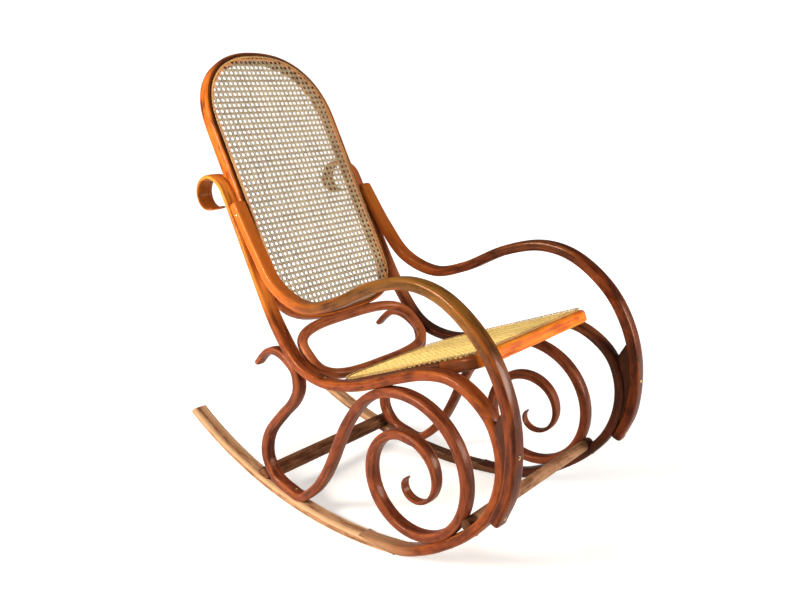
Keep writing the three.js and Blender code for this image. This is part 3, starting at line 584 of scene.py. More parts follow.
def scroll_line():
    """Hook, S loop standing on the runner, arch under the seat, and spiral."""
    bend, runner, thick = side_bend_line(), runner_line(), chair.scroll_thick

    def touch(pair, towards, depth):
        return beside(*bend, spot(pair), spot(towards), thick, depth)

    stand = [
        beside(*runner, on_arc(rock_angle(share), chair.runner_thick), spot((share, 1)), thick, BITE)
        for share in STAND_SHARES]
    top = touch(SPIRAL_TOP_SHARES, SPIRAL_FOOT_SHARES, CLEARANCE)
    foot = touch(SPIRAL_FOOT_SHARES, SPIRAL_TOP_SHARES, FOOT_BITE)
    full = chair.scroll_width, thick
    return rod([
        flat(HOOK_SHARES), touch(HOOK_TOUCH_SHARES, LOOP_SHARES[0], BITE), flat(LOOP_SHARES),
        stand, flat(ARCH_SHARES), spiral(top, foot),
    ], (
        (0, chair.hook_width, chair.hook_thick), (0.06, *full), (0.86, *full),
        (1, chair.tip_width, chair.tip_thick)))


def arm_line():
    """From the upright down to the armrest, forward and down the front; it eases outwards at its start."""
    bend, thick = side_bend_line(), chair.arm_thick
    points = np.vstack([
        beside(*bend, spot(ARM_TOP_SHARES), spot(ARM_SHARES[0]), thick, BITE), flat(ARM_SHARES),
        beside(*bend, spot(ARM_FOOT_SHARES), spot((-1, 0)), thick, BITE)])
    t = np.clip(np.arange(len(points)) / 3, 0, 1)
    points[:, 2] = chair.arm_top_out + (chair.arm_out - chair.arm_top_out) * t * t * (3 - 2 * t)
    return rod(points, ((0, chair.arm_width, thick), (1, chair.arm_width, thick)))


def scarfed(points, above):
    """Flattens what lies past a runner's slanted glue line: it moves straight onto that line."""
    thick, gap = chair.runner_thick, CLEARANCE / 2
    low = on_arc(rock_angle(JOINT_FRONT_SHARE), thick, FEATHER - thick / 2)[:2]
    high = on_arc(rock_angle(JOINT_REAR_SHARE), thick, thick / 2 - FEATHER)[:2]
    slope = unit(high - low)
    normal = np.array([-slope[1], slope[0]])
    offset = points[:, :2] - low
    along, height = offset @ slope, offset @ normal
    if above:
        past, target = (along > -FEATHER) & (height < gap), gap
    else:
        past, target = (along < np.linalg.norm(high - low) + FEATHER) & (height > -gap), -gap
    moved = points.copy()
    moved[:, :2] += np.where(past, target - height, 0)[:, None] * normal
    return moved


# Flat frames: a plane's origin, its two directions, its front and how far it reaches

Plane = namedtuple("Plane", "origin across axis normal extent")


def back_plane():
    """The leaning back, with half its width as the extent."""
    top, foot = flat(UPRIGHT_SHARES)
    lean = math.atan2(top[0] - foot[0], top[1] - foot[1])
    axis = np.array([0, math.sin(lean), math.cos(lean)])
    front = np.array([0, -math.cos(lean), math.sin(lean)])
    rise = BACK_FOOT_SHARE * chair.height
    rear = foot[0] + (rise - foot[1]) * math.tan(lean) - chair.middle
    half = chair.half_span - (top[0] + foot[0]) / 2 * math.tan(chair.splay)
    half += BACK_HALVING - chair.upright_width / 2
    return Plane(np.array([0, rear, rise]) + front * BACK_FORWARD, ACROSS, axis, front, half)


def back_ends(inset):
    """Half width, rise, middle and squareness of the arch and of the foot."""
    half = back_plane().extent - inset
    arch, foot = chair.arch_height, chair.foot_height
    return ((half, arch - inset, chair.back_length - arch, chair.arch_squareness),
            (half, foot - inset, foot, chair.foot_squareness))


def back_outline(inset, step):
    """The back's outline: two bowed ends with straight sides between them."""
    ends = []
    for start, (half, rise, middle, squareness) in zip((0, math.pi), back_ends(inset)):
        u, v = rounded(start + np.linspace(0, math.pi, 1600), squareness)
        ends.append(np.column_stack([half * u, middle + rise * v]))
    return resampled(np.vstack(ends), step, closed=True)


def inside_back(x, y, inset):
    """Whether places in the back's plane lie inside its outline, where two powers add up to less than 1."""
    upper = y > chair.back_length / 2
    half, rise, middle, power = (np.where(upper, arch, foot) for arch, foot in zip(*back_ends(inset)))
    beyond = np.maximum(np.where(upper, y - middle, middle - y), 0)
    return (np.abs(x) / half) ** power + (beyond / rise) ** power < 1


def seat_plane():
    """The seat's upper face from its front edge, with its length as the extent."""
    fore, aft = spot(SEAT_FRONT_SHARES), spot(SEAT_REAR_SHARES)
    along = np.array([0, aft[0] - fore[0], aft[1] - fore[1]])
    axis = unit(along)
    origin = np.array([0, fore[0] - chair.middle, fore[1]])
    return Plane(origin, ACROSS, axis, np.array([0, -axis[2], axis[1]]), np.linalg.norm(along))


def seat_half(distance):
    """Half the seat's width at a distance from its front edge."""
    plane = seat_plane()
    return span_at(plane.origin[1] + distance * plane.axis[1]) - chair.bend_width / 2 - CLEARANCE


def seat_joints():
    """Where the seat's front and rear rails end."""
    return chair.front_reach, seat_plane().extent - chair.rear_reach


def in_plane(plane, x, y, height=0.0):
    """A place at x and y in a plane, and at a height above it."""
    x, y, height = np.broadcast_arrays(x, y, height)
    return (plane.origin + x[..., None] * plane.across + y[..., None] * plane.axis
            + height[..., None] * plane.normal)


def turned_edge(tips, corners, radius, side_steps, end_steps):
    """A U: from one tip along a side, round two corners of a radius, and back to the other tip.

    Each corner is a cubic whose handles make it follow a quarter circle.
    """
    handle = 0.5523
    t = np.linspace(0, 1, 18)[:, None]
    (tip_a, tip_b), (corner_a, corner_b) = np.asarray(tips, float), np.asarray(corners, float)
    turns = []
    for corner, before, after in ((corner_a, tip_a, corner_b), (corner_b, corner_a, tip_b)):
        back, on = unit(before - corner) * radius, unit(after - corner) * radius
        a, b, c, d = corner + back, corner + back * (1 - handle), corner + on * (1 - handle), corner + on
        turns.append(a * (1 - t) ** 3 + 3 * b * (1 - t) ** 2 * t + 3 * c * (1 - t) * t ** 2 + d * t ** 3)
    return np.vstack([
        np.linspace(tip_a, turns[0][0], side_steps, endpoint=False), turns[0][:-1],
        np.linspace(turns[0][-1], turns[1][0], end_steps, endpoint=False), turns[1],
        np.linspace(turns[1][-1], tip_b, side_steps, endpoint=False)[1:], tip_b[None],
    ])


def seat_edge(inset_end, inset_side, radius, joint, front):
    """An edge of the seat's front or rear rail, in the seat's plane, between its two joints."""
    across = inset_end if front else seat_plane().extent - inset_end
    turn = -1 if front else 1
    tips, corners = (
        [(hand * turn * (seat_half(at) - inset_side), at) for hand in (1, -1)] for at in (joint, across))
    return turned_edge(tips, corners, radius, 14, 60)


def inside_seat(x, y, inset):
    """Whether places in the seat's plane lie inside its outline, inset and with its rounded corners."""
    whole = seat_plane().extent
    radius = np.where(y < whole / 2, chair.front_corner, chair.rear_corner) - inset
    over = np.maximum(np.maximum(inset + radius - y, y - (whole - inset - radius)), 0)
    beyond = np.maximum(np.abs(x) - (seat_half(y) - inset - radius), 0)
    return np.hypot(beyond, over) < radius


# Pieces

def ear_inside(points, share, timber):
    """Painted shade: 1 on the inner side of the curl at a side bend's upper end."""
    rings = points[:-2, :2].reshape(-1, ROD_SIDES, 2)
    curled = share[:-2:ROD_SIDES] < EAR_RUN_SHARE
    centre = rings.mean(axis=1)[curled].mean(axis=0)
    away = np.linalg.norm(rings - centre, axis=2)
    inner = (away < away.mean(axis=1, keepdims=True)) & curled[:, None]
    return np.append(inner.ravel(), [False, False]).astype(float)


def armrest_sides(points, share, timber):
    """Painted shade: 1 on the upright faces of the armrest, and 0 on its top."""
    level = np.interp(share, (0.30, 0.38, 0.56, 0.66), (0, 1, 1, 0))
    return level * np.clip(np.abs(timber[:, 1]) / np.abs(timber[:, 1]).max() * 4 - 3, 0, 1)


def bent_rods(word, node_word, rod_line, finish_word, seed, seed_step, slot, squareness=3.6, depths=(0, 0),
              above=None, stain=None, strength=None, soot=None):
    """A bent rod on each side.

    stain gives the field groove at shares of the length, with a strength by side, for worn bare wood
    and for painted light and shade; soot gives faces darkened with painted shade.
    """
    for side, hand in HANDS.items():
        points, faces, fields = rod_grid(*rod_line, OUT, squareness, depths=depths)
        if above is not None:
            points = scarfed(points, above)
        timber = fields["timber"]
        share = timber[:, 0] / timber[:, 0].max()
        if stain:
            fields["groove"] = np.interp(share, *stain) * (strength[side] if strength else 1)
        if soot:
            fields["soot"] = soot(points, share, timber)
        add_piece(f"{word}_of_the_{side}", to_chair(points, hand), faces, fields,
                  FINISH_OF[side].get(finish_word, finish_word), f"{node_word}_{side}", slot,
                  seed + hand * seed_step)
    return {"FINISHED"}


class MESH_OT_chair_side_bends(bpy.types.Operator):
    """Side bends: one rod each for the ear, the upright, the seat's side and the front curve"""
    bl_idname = "mesh.chair_side_bends"
    bl_label = "Side bends"

    def execute(self, context):
        # The ears' curls are darkened with painted shade; the ends at the runner joint take the worn runner's
        # tone
        return bent_rods(
            "side_bend", "side_bend", side_bend_line(), "bend", 1, 0.31, "bent_rod", depths=(0.0028, 0),
            above=True, stain=((0.90, 0.96), (0, 1)), soot=ear_inside)


class MESH_OT_chair_runners(bpy.types.Operator):
    """Runners: arcs that roll on the floor, glued to the side bends by a slanted joint"""
    bl_idname = "mesh.chair_runners"
    bl_label = "Runners"

    def execute(self, context):
        # The far runner's front half takes painted shade from the groove field
        return bent_rods(
            "rocker", "runner", runner_line(), "runner", 2, 0.27, "worn_rod", depths=(0, FEATHER),
            above=False, stain=((0.46, 0.60), (1, 0)))


class MESH_OT_chair_scrolls(bpy.types.Operator):
    """Scrolls: one rod each for the hook, the S loop, the arch and the spiral"""
    bl_idname = "mesh.chair_scrolls"
    bl_label = "Scrolls"

    def execute(self, context):
        return bent_rods(
            "scroll", "scroll_bend", scroll_line(), "scroll", 3, 0.41, "dark_rod",
            depths=(chair.hook_thick / 2.2, chair.tip_thick / 2.2))


class MESH_OT_chair_arms(bpy.types.Operator):
    """Arms: from the back down to the armrest, forward and down the front, with a wedge behind"""
    bl_idname = "mesh.chair_arms"
    bl_label = "Arms"

    def execute(self, context):
        arm, bend = arm_line(), side_bend_line()
        # The arms' upper ends take painted light, and the armrests' sides painted shade
        bent_rods("armrest", "arm", arm, "arm", 4, 0.33, "arm_rod", squareness=5.0, depths=(0.008, 0.008),
                  stain=((0.19, 0.31), (1, 0)), strength=ARM_PAINTED_LIGHT, soot=armrest_sides)
        up = np.linspace(WEDGE_FOOT_SHARE, WEDGE_TOP_SHARE, 60) * chair.height

        def crossing(line):
            """How far to the rear a line's front part runs at each height of the wedge."""
            front = line[line[:, 0] < JOINT_FRONT_SHARE * chair.depth]
            ends = [np.argmin(np.abs(front[:, 1] - end)) for end in (up[0], up[-1])]
            part = front[min(ends):max(ends) + 1]
            part = part[np.argsort(part[:, 1])]
            return np.interp(up, part[:, 1], part[:, 0])

        rear = crossing(bend[0]) - chair.bend_thick / 2 + BITE
        fore = np.minimum(crossing(arm[0]) + chair.arm_thick / 2 - BITE, rear - WEDGE_LEAST)
        middle = np.column_stack([(rear + fore) / 2, up, np.full(len(up), chair.arm_out / 2)])
        # The wedge narrows with the root of the height that is left
        left_over = np.clip((up[-1] - up) / 0.03, 0, 1)
        sizes = np.column_stack([chair.wedge_width * (0.55 + 0.45 * np.sqrt(left_over)), rear - fore])
        for side, hand in HANDS.items():
            points, faces, fields = rod_grid(middle, sizes, OUT, 7)
            aside = points[:, 0] - np.interp(points[:, 1], up, middle[:, 0])
            near_top = np.clip((points[:, 1] - up[-1]) / WEDGE_SLOPE_REACH + 1, 0, 1)
            points[:, 1] -= WEDGE_SLOPE * aside * near_top
            # The wedges take the finish shade: painted shade between the arm and the side bend, and dirt
            add_piece(f"wedge_of_the_{side}", to_chair(points, hand), faces, fields, "shade",
                      f"arm_block_{side}", "arm_rod", 5 + hand * 0.21)
        return {"FINISHED"}


class MESH_OT_chair_back(bpy.types.Operator):
    """Back frame: a closed hoop with a bead and a sunk channel along its outer front edge, and painted shade
    under the cane
    """
    bl_idname = "mesh.chair_back"
    bl_label = "Back frame"

    def execute(self, context):
        plane = back_plane()
        line = in_plane(plane, *back_outline(chair.back_rail / 2, BACK_STEP).T)
        out, forward = BACK_SECTION_SHARES.T
        # The bead serves as the ridge field, so it is rubbed lighter: wear, and a painted highlight along the
        # edge
        bead = np.exp(-((out - 0.68) / 0.16) ** 2) * (forward > 0.8)
        groove = np.exp(-((out - 0.36) / 0.09) ** 2) * (forward > 0.5)
        # Under the cane the frame is darkened with painted shade
        groove = np.maximum(groove, 0.9 * (out < 0.2) * (forward > -0.6))
        out, forward = out * chair.back_rail / 2, forward * chair.back_deep / 2
        grid, timber = swept(line, plane.normal, out, forward, closed=True)
        points, faces, fields = tube(grid, timber, bead, closed=True)
        fields["groove"] = np.tile(groove, len(line))
        add_piece("back_hoop", points, faces, fields, "back", "back_frame", "back_wood", 6)
        return {"FINISHED"}


class MESH_OT_chair_ring(bpy.types.Operator):
    """Lower ring: a round rod bent to a flat hoop below the back"""
    bl_idname = "mesh.chair_ring"
    bl_label = "Lower ring"

    def execute(self, context):
        back, seat, thick = back_plane(), seat_plane(), chair.ring_tube
        upper = back.origin + back.axis * (RING_COPE - thick / 2) + back.normal * RING_FORWARD
        lower = seat.origin + seat.axis * (seat.extent + thick / 2 + CLEARANCE) + seat.normal * RING_RISE
        middle = (upper + lower) / 2
        half = span_at(middle[1]) - (chair.bend_width + thick) / 2 - RING_AIR
        rise = (upper - lower) / 2
        u, v = rounded(np.linspace(0, 2 * math.pi, 4000, endpoint=False), chair.ring_squareness)
        line = resampled(middle + ACROSS * (half * u)[:, None] + rise * v[:, None], HOOP_STEP, closed=True)
        points, faces, fields = rod_grid(
            line, np.full((len(line), 2), thick), np.cross(ACROSS, unit(rise)), 2, closed=True)
        fields["ridge"] = fields["ridge"] * 0.3
        add_piece("hoop_below_the_back", points, faces, fields, "ring", "lower_ring", "dark_rod", 7)
        return {"FINISHED"}


class MESH_OT_chair_seat(bpy.types.Operator):
    """Seat frame: a front and a rear rail that turn the corners, and two side rails between them"""
    bl_idname = "mesh.chair_seat"
    bl_label = "Seat frame"

    def execute(self, context):
        plane, side = seat_plane(), chair.seat_side
        front, rear = seat_joints()
        fore, aft = front - CLEARANCE / 2, rear + CLEARANCE / 2
        y = np.linspace(front + CLEARANCE / 2, rear - CLEARANCE / 2, 40)
        edges = {
            "front": (seat_edge(0, 0, chair.front_corner, fore, True),
                      seat_edge(chair.seat_front, side, chair.inner_corner, fore, True)),
            "rear": (seat_edge(0, 0, chair.rear_corner, aft, False),
                     seat_edge(chair.seat_rear, side, chair.inner_rear_corner, aft, False)),
        }
        for word, hand in HANDS.items():
            edges[f"side_{word}"] = [
                np.column_stack([hand * (seat_half(y) - inset), y]) for inset in (0, side)]
        u, v, ridge = section(28, 5.0, 3)
        height = -chair.seat_thick / 2 * (1 - v)
        for seed, (name, (outer, inner)) in enumerate(edges.items()):
            # Bowed rectangles from edge to edge
            middle, half = (outer + inner) / 2, (outer - inner) / 2
            across = middle[:, None] + half[:, None] * u[:, None]
            grid = in_plane(plane, across[..., 0], across[..., 1], height)
            run, wide = run_length(middle)[:, None], np.linalg.norm(half, axis=1)[:, None] * u
            timber = np.stack(np.broadcast_arrays(run, wide, height), axis=-1)
            points, faces, fields = tube(grid, timber, ridge, tip=0.2)
            # Painted shade darkens the front rail where it turns the corners
            turned = np.clip((np.abs(directions(middle)[:, 1]) - 0.55) / 0.25, 0, 1)
            fields["groove"] = np.append(np.repeat(turned, len(u)), turned[[0, -1]])
            node_name = f"seat_{name}_rail" if name in ("front", "rear") else f"seat_side_rail_{name[5:]}"
            # The side and rear rails take the finish shade, which is painted shade
            add_piece(f"seat_frame_{name}", points, faces, fields, "seat" if name == "front" else "shade",
                      node_name, "seat_wood", 8 + seed)
        return {"FINISHED"}


class MESH_OT_chair_stretchers(bpy.types.Operator):
    """Stretchers: turned bars across the side frames, a little thinner with the square of the way out"""
    bl_idname = "mesh.chair_stretchers"
    bl_label = "Stretchers"

    def execute(self, context):
        bars = (
            ("front", "bar", side_bend_line(), spot(FRONT_BAR_SHARES), spot(SPIRAL_TOP_SHARES),
             chair.front_bar, chair.bend_width),
            ("rear", "rear_bar", runner_line(), on_arc(rock_angle(REAR_BAR_SHARE), chair.runner_thick),
             spot(EAR_SHARES), chair.rear_bar, chair.runner_width),
        )
        for seed, (name, finish_name, carrier, place, towards, size, width) in enumerate(bars):
            notch, inset = BAR_FITS[name]
            rear, up, _ = beside(*carrier, place, towards, size, notch)
            centre = np.array([0, rear * math.cos(chair.splay) - chair.middle, up])
            half = span_at(centre[1]) + width / 2 - inset
            x = np.linspace(BAR_DOME - half, half - BAR_DOME, 200)[:, None]
            girth = np.repeat(size * (1 - 0.035 * (x / half) ** 2), 2, axis=1)
            points, faces, fields = rod_grid(
                centre + x * ACROSS, girth, (0, 0, 1), 2, 40, depths=(BAR_DOME, BAR_DOME))
            fields["ridge"] = fields["ridge"] * 0.2
            # Painted shade on the bars' ends, where they meet the side frames; only the front bar's finish
            # reads it
            fields["groove"] = np.clip((np.abs(points[:, 0]) / half - 0.87) / 0.03, 0, 1)
            add_piece(
                f"{name}_bar", points, faces, fields, finish_name, f"{name}_stretcher", "bar_wood", 13 + seed)
        return {"FINISHED"}


# Cane

def weave(name, prefix, plane, inside, on_rail, centre, reach):
    """Six-way cane: pairs up and across, and two slants through the octagons between them.

    With pitch p, one strand of each upright pair dips by t cos^2(pi y/p) where pairs cross and the
    other rises by as much, the rows lie level between them, and a slant's height is t cos(2 pi x/p)
    or its opposite, so that every crossing has the strands side by side.
    """
    p, e, t = chair.pitch, chair.pair, chair.strand_thick
    cx, cy = centre
    count = int(reach / p) + 1
    pairs = [(k, side) for k in range(-count, count + 1) for side in (-1, 1)]
    between = [(cx, cy + (k + 0.5) * p) for k in range(-2 * count, 2 * count)]

    def waving(x, height):
        return height * np.cos(2 * math.pi * (x - cx) / p)

    def upright(x, y, number):
        return pairs[number][1] * t * np.cos(math.pi * (y - cy) / p) ** 2

    step, slanted = p / 6, 1.3 * p / 6
    layers = {
        "uprights": ([(cx + k * p + side * e, cy) for k, side in pairs], (0, 1), upright, chair.strand, step),
        "rows": ([(cx, cy + k * p + side * e) for k, side in pairs], (1, 0),
                 lambda x, y, number: waving(x, LEVEL_WAVE), chair.strand, step),
        "rising_slants": (between, (1, 1), lambda x, y, number: waving(x, t), chair.diagonal, slanted),
        "falling_slants": (between, (1, -1), lambda x, y, number: waving(x, -t), chair.diagonal, slanted),
    }
    for word, (starts, heading, wave, width, spacing) in layers.items():
        parts = []
        u, v = STRAND_SECTION_SHARES.T * ((width,), (t,))
        heading = unit(np.array(heading, float))
        for number, start in enumerate(starts):
            s = np.arange(-1.0, 1.0, spacing / 2)
            s = s[inside(*(start + s[:, None] * heading).T)]
            if len(s) < LEAST_STATIONS:
                continue
            s = np.arange(s[0], s[-1] + spacing / 2, spacing)
            x, y = (start + s[:, None] * heading).T
            dive = np.clip(1 - np.minimum(s - s[0], s[-1] - s) / DIVE_REACH, 0, 1) ** 2 * DIVE_DEPTH
            line = in_plane(plane, x, y, chair.lift + t / 2 + wave(x, y, number) - dive)
            grid, timber = swept(line, plane.normal, u, v)
            parts.append((grid.reshape(-1, 3), tube_faces(*grid.shape[:2], "flat"), {
                "timber": timber.reshape(-1, 3) + number * np.array([0.173, 0.219, 0.117]),
                "rim": np.repeat(on_rail(x, y), len(u)).astype(float)}))
        add_piece(f"{prefix}_{word}", *bundled(parts), name, name, name)


def binder_piece(name, plane, outline, node_name):
    """The strip over the holes, and over it a half hoop of low, wide sections at each hole."""
    thick = chair.binder_thick
    lift = chair.lift + 2 * chair.strand_thick + thick / 2
    u, v = STRAND_SECTION_SHARES.T * ((chair.binder,), (thick,))
    strip, timber = swept(in_plane(plane, *outline.T, lift), plane.normal, u, v, closed=True)
    parts = [(
        strip.reshape(-1, 3), tube_faces(*strip.shape[:2], "joined"), {"timber": timber.reshape(-1, 3)})]
    holes = resampled(outline, chair.pitch * 0.62, closed=True)
    heading = directions(holes, closed=True)
    middle = in_plane(plane, *holes.T, lift)
    tangent = heading[:, :1] * plane.across + heading[:, 1:] * plane.axis
    side = unit(np.cross(tangent, plane.normal))
    turn = np.radians(np.linspace(-12, 192, 13))[:, None]
    around = np.arange(6) * math.pi / 3
    wide, deep = 0.0012 * np.cos(around), 0.00045 * np.sin(around)
    aside = (chair.binder / 2 + 0.0006 + deep) * np.cos(turn)
    above = (thick / 2 + 0.0007 + deep) * np.sin(turn)
    local = np.stack(np.broadcast_arrays(aside, wide, above), axis=-1)
    axes_at = np.stack([side, tangent, np.broadcast_to(plane.normal, side.shape)], axis=1)
    for number, axes in enumerate(axes_at):
        parts.append((
            (middle[number] + local @ axes).reshape(-1, 3), tube_faces(*local.shape[:2], "flat"),
            {"timber": local.reshape(-1, 3) + 0.131 * number}))
    add_piece(name, *bundled(parts), "binder", node_name, "binder_cane")


class MESH_OT_chair_cane(bpy.types.Operator):
    """Cane: the six-way weave of the back and of the seat, and the strips over its holes"""
    bl_idname = "mesh.chair_cane"
    bl_label = "Cane"

    def execute(self, context):
        back, seat, inset = back_plane(), seat_plane(), chair.inset
        back_inset = inset + 0.003
        back = back._replace(origin=back.origin + back.normal * 0.93 * chair.back_deep / 2)
        weave("back_cane", "back_weave", back, lambda x, y: inside_back(x, y, back_inset),
              lambda x, y: ~inside_back(x, y, chair.back_rail + 0.001), (0.0, chair.back_length / 2),
              chair.back_length / 2)
        weave("seat_cane", "seat_weave", seat, lambda x, y: inside_seat(x, y, inset),
              lambda x, y: 0 * x, (0.0, seat.extent / 2), seat.extent / 2)
        binder_piece("back_strip", back, back_outline(back_inset, BINDER_STEP), "back_binder")
        front, rear = seat_joints()
        loop = np.vstack([
            seat_edge(inset, inset, chair.front_corner - inset, front, True),
            seat_edge(inset, inset, chair.rear_corner - inset, rear, False)])
        binder_piece("seat_strip", seat, resampled(loop, BINDER_STEP, closed=True), "seat_binder")
        return {"FINISHED"}


# Screws

def screw_head(place, normal, heading):
    """A slotted round head: height falls with the square of the distance, and a slot is sunk across it."""
    share = np.array([0.06, 0.2, 0.34, 0.5, 0.66, 0.8, 0.9, 0.97, 1.0, 1.0])[:, None]
    turn = np.arange(48) * 2 * math.pi / 48
    x, y = (SCREW_RADIUS * share * part for part in (np.cos(turn), np.sin(turn)))
    height = np.broadcast_to(0.0016 * (1 - share ** 2), x.shape).copy()
    height[-1] = -0.001
    height -= 0.0010 * np.clip(1.6 - np.abs(y) / 0.00045, 0, 1) * (share < 0.99)
    normal = unit(normal)
    ahead = unit(np.cross(np.cross(normal, heading), normal))
    grid = place + ahead * x[..., None] + np.cross(normal, ahead) * y[..., None] + normal * height[..., None]
    return np.vstack([grid.reshape(-1, 3), place + normal * 0.0006, place - normal * 0.001]), x.shape


class MESH_OT_chair_screws(bpy.types.Operator):
    """Screws: slotted round heads where rods and bars are fastened"""
    bl_idname = "mesh.chair_screws"
    bl_label = "Screws"

    def execute(self, context):
        bend, runner, arm, scroll = side_bend_line(), runner_line(), arm_line(), scroll_line()
        # Rod, place, and where its head faces: a place in the rod's plane, or outwards
        places = (
            (arm, (0.300, 0.885), None), (arm, (-0.396, 0.262), (-1, 0)), (arm, (-0.446, 0.41), (-1, 0.3)),
            (bend, FRONT_BAR_SHARES, (-1, 0)), (bend, SPIRAL_FOOT_SHARES, (-0.5, 0)),
            (runner, (REAR_BAR_SHARE, 0.0), (REAR_BAR_SHARE, -1)), (scroll, HOOK_TOUCH_SHARES, (0.3, 0.30)),
            (bend, SPIRAL_TOP_SHARES, (-0.1, 2)), (scroll, (0.160, 0.055), (0.160, 1)),
            (bend, UPRIGHT_SHARES[0], (1, 0.9)), (bend, UPRIGHT_SHARES[1], (1, 0.7)),
            (bend, (0.042, 0.447), (0.042, 2)),
        )
        parts = []
        for hand in HANDS.values():
            for (line, sizes), pair, towards in places:
                k = np.argmin(np.linalg.norm(line - spot(pair), axis=1))
                along, out = directions(line)[k], np.array(OUT)
                if towards is None:
                    place, normal, heading = line[k] + out * sizes[k, 0] / 2, out, along
                else:
                    normal = np.cross(along, out)
                    normal *= np.sign(normal @ (spot(towards) - line[k]))
                    place, heading = line[k] + normal * sizes[k, 1] / 2, out
                head, shape = screw_head(place, normal, heading + SCREW_TWIST)
                points = to_chair(head, hand)
                faces = [part[:, ::-hand] for part in tube_faces(*shape)]
                parts.append((points, faces, {"timber": points}))
        add_piece("screws", *bundled(parts), "brass")
        return {"FINISHED"}


# Materials

class Signal:
    """A node's output that is added, subtracted and multiplied like a number."""

    def __init__(self, socket):
        self.socket = socket
        self.tree = socket.id_data

    def math(self, operation, other):
        return signal(self.tree, "ShaderNodeMath", 0, {0: self, 1: other}, operation=operation)

    def __add__(self, other):
        return self.math("ADD", other)

    def __sub__(self, other):
        return self.math("SUBTRACT", other)

    def __mul__(self, other):
        return self.math("MULTIPLY", other)


def node(tree, kind, values=None, **properties):
    """A node with its properties set; a signal among the values is linked, and any other value typed in."""
    new = tree.nodes.new(kind)
    for key, value in properties.items():
        setattr(new, key, value)
    for key, value in (values or {}).items():
        if isinstance(value, Signal):
            tree.links.new(value.socket, new.inputs[key])
        else:
            new.inputs[key].default_value = value
    return new


def signal(tree, kind, output, values=None, **properties):
    """The signal of a new node's output."""
    return Signal(node(tree, kind, values, **properties).outputs[output])


def ranged(value, low, high, to_low=0.0, to_high=1.0):
    """A signal eased from one range to another."""
    return signal(value.tree, "ShaderNodeMapRange", "Result", {
        "Value": value, "From Min": low, "From Max": high, "To Min": to_low, "To Max": to_high,
    }, interpolation_type="SMOOTHSTEP")


def noise(vector, scale, detail=2.0, roughness=0.55, distortion=0.0):
    """Noise of a vector stretched by three scales."""
    mapped = signal(vector.tree, "ShaderNodeVectorMath", 0, {0: vector, 1: scale}, operation="MULTIPLY")
    return signal(vector.tree, "ShaderNodeTexNoise", "Fac", {
        "Vector": mapped, "Scale": 1.0, "Detail": detail, "Roughness": roughness, "Distortion": distortion})


def mixed(share, a, b):
    """A colour between two, by a share."""
    return signal(share.tree, "ShaderNodeMix", 2, {0: share, 6: a, 7: b}, data_type="RGBA", clamp_factor=True)


def field(tree, name, output="Fac"):
    """A field of the mesh."""
    return signal(tree, "ShaderNodeAttribute", output, attribute_type="GEOMETRY", attribute_name=name)


def node_group(name, inputs, build):
    """A node group: build works out its float outputs from the signals of its inputs."""
    tree = bpy.data.node_groups.new(name, "ShaderNodeTree")
    for label, kind in inputs.items():
        tree.interface.new_socket(name=label, in_out="INPUT", socket_type="NodeSocket" + kind)
    given = node(tree, "NodeGroupInput")
    results = build(*(Signal(given.outputs[label]) for label in inputs))
    for label in results:
        tree.interface.new_socket(name=label, in_out="OUTPUT", socket_type="NodeSocketFloat")
    node(tree, "NodeGroupOutput", results)
    return tree


def grain(timber):
    """Long fibres, short pores and broad clouds in bent wood, from its place in the straight rod."""
    fibres = noise(timber, (5.0, 190.0, 190.0), 5.0, 0.62, 0.4)
    streaks = noise(timber, (14.0, 620.0, 620.0), 3.0)
    clouds = noise(timber, (20.0, 46.0, 46.0), 5.0, 0.62)
    pores = ranged(noise(timber, (55.0, 1900.0, 1900.0)), 0.60, 0.72)
    tone = ranged(fibres * 0.55 + clouds * 0.45, 0.36, 0.64) * 0.78 + streaks * 0.22
    return {"Tone": tone, "Pores": pores, "Clouds": clouds, "Height": streaks * 0.5 - pores * 0.5}


def wear(timber, ridge, amount):
    """Where the finish is rubbed: on ridges, broken up by patches and short scuffs along the rod."""
    patches = noise(timber, (16.0, 55.0, 55.0), 4.0, 0.6)
    rubbed = ranged(ridge * amount + amount * 0.12 + (patches - 0.5), 0.30, 0.75)
    scuffs = ranged(noise(timber, (70.0, 420.0, 420.0), 3.0, 0.6), 0.64, 0.74) * amount
    return {"Rubbed": rubbed, "Scuffs": scuffs, "Dents": noise(timber, (42.0, 120.0, 120.0))}


def new_material(name, build, *details):
    """A material of one shader: build gives the shader's values from the tree and the details."""
    material = bpy.data.materials.new(name)
    material.use_nodes = True
    tree = material.node_tree
    tree.nodes.clear()
    shader = signal(tree, "ShaderNodeBsdfPrincipled", 0, build(tree, *details))
    node(tree, "ShaderNodeOutputMaterial", {0: shader})
    return material


def bump(height, strength, distance):
    """The surface direction that a height gives."""
    return signal(
        height.tree, "ShaderNodeBump", 0, {"Height": height, "Strength": strength, "Distance": distance})


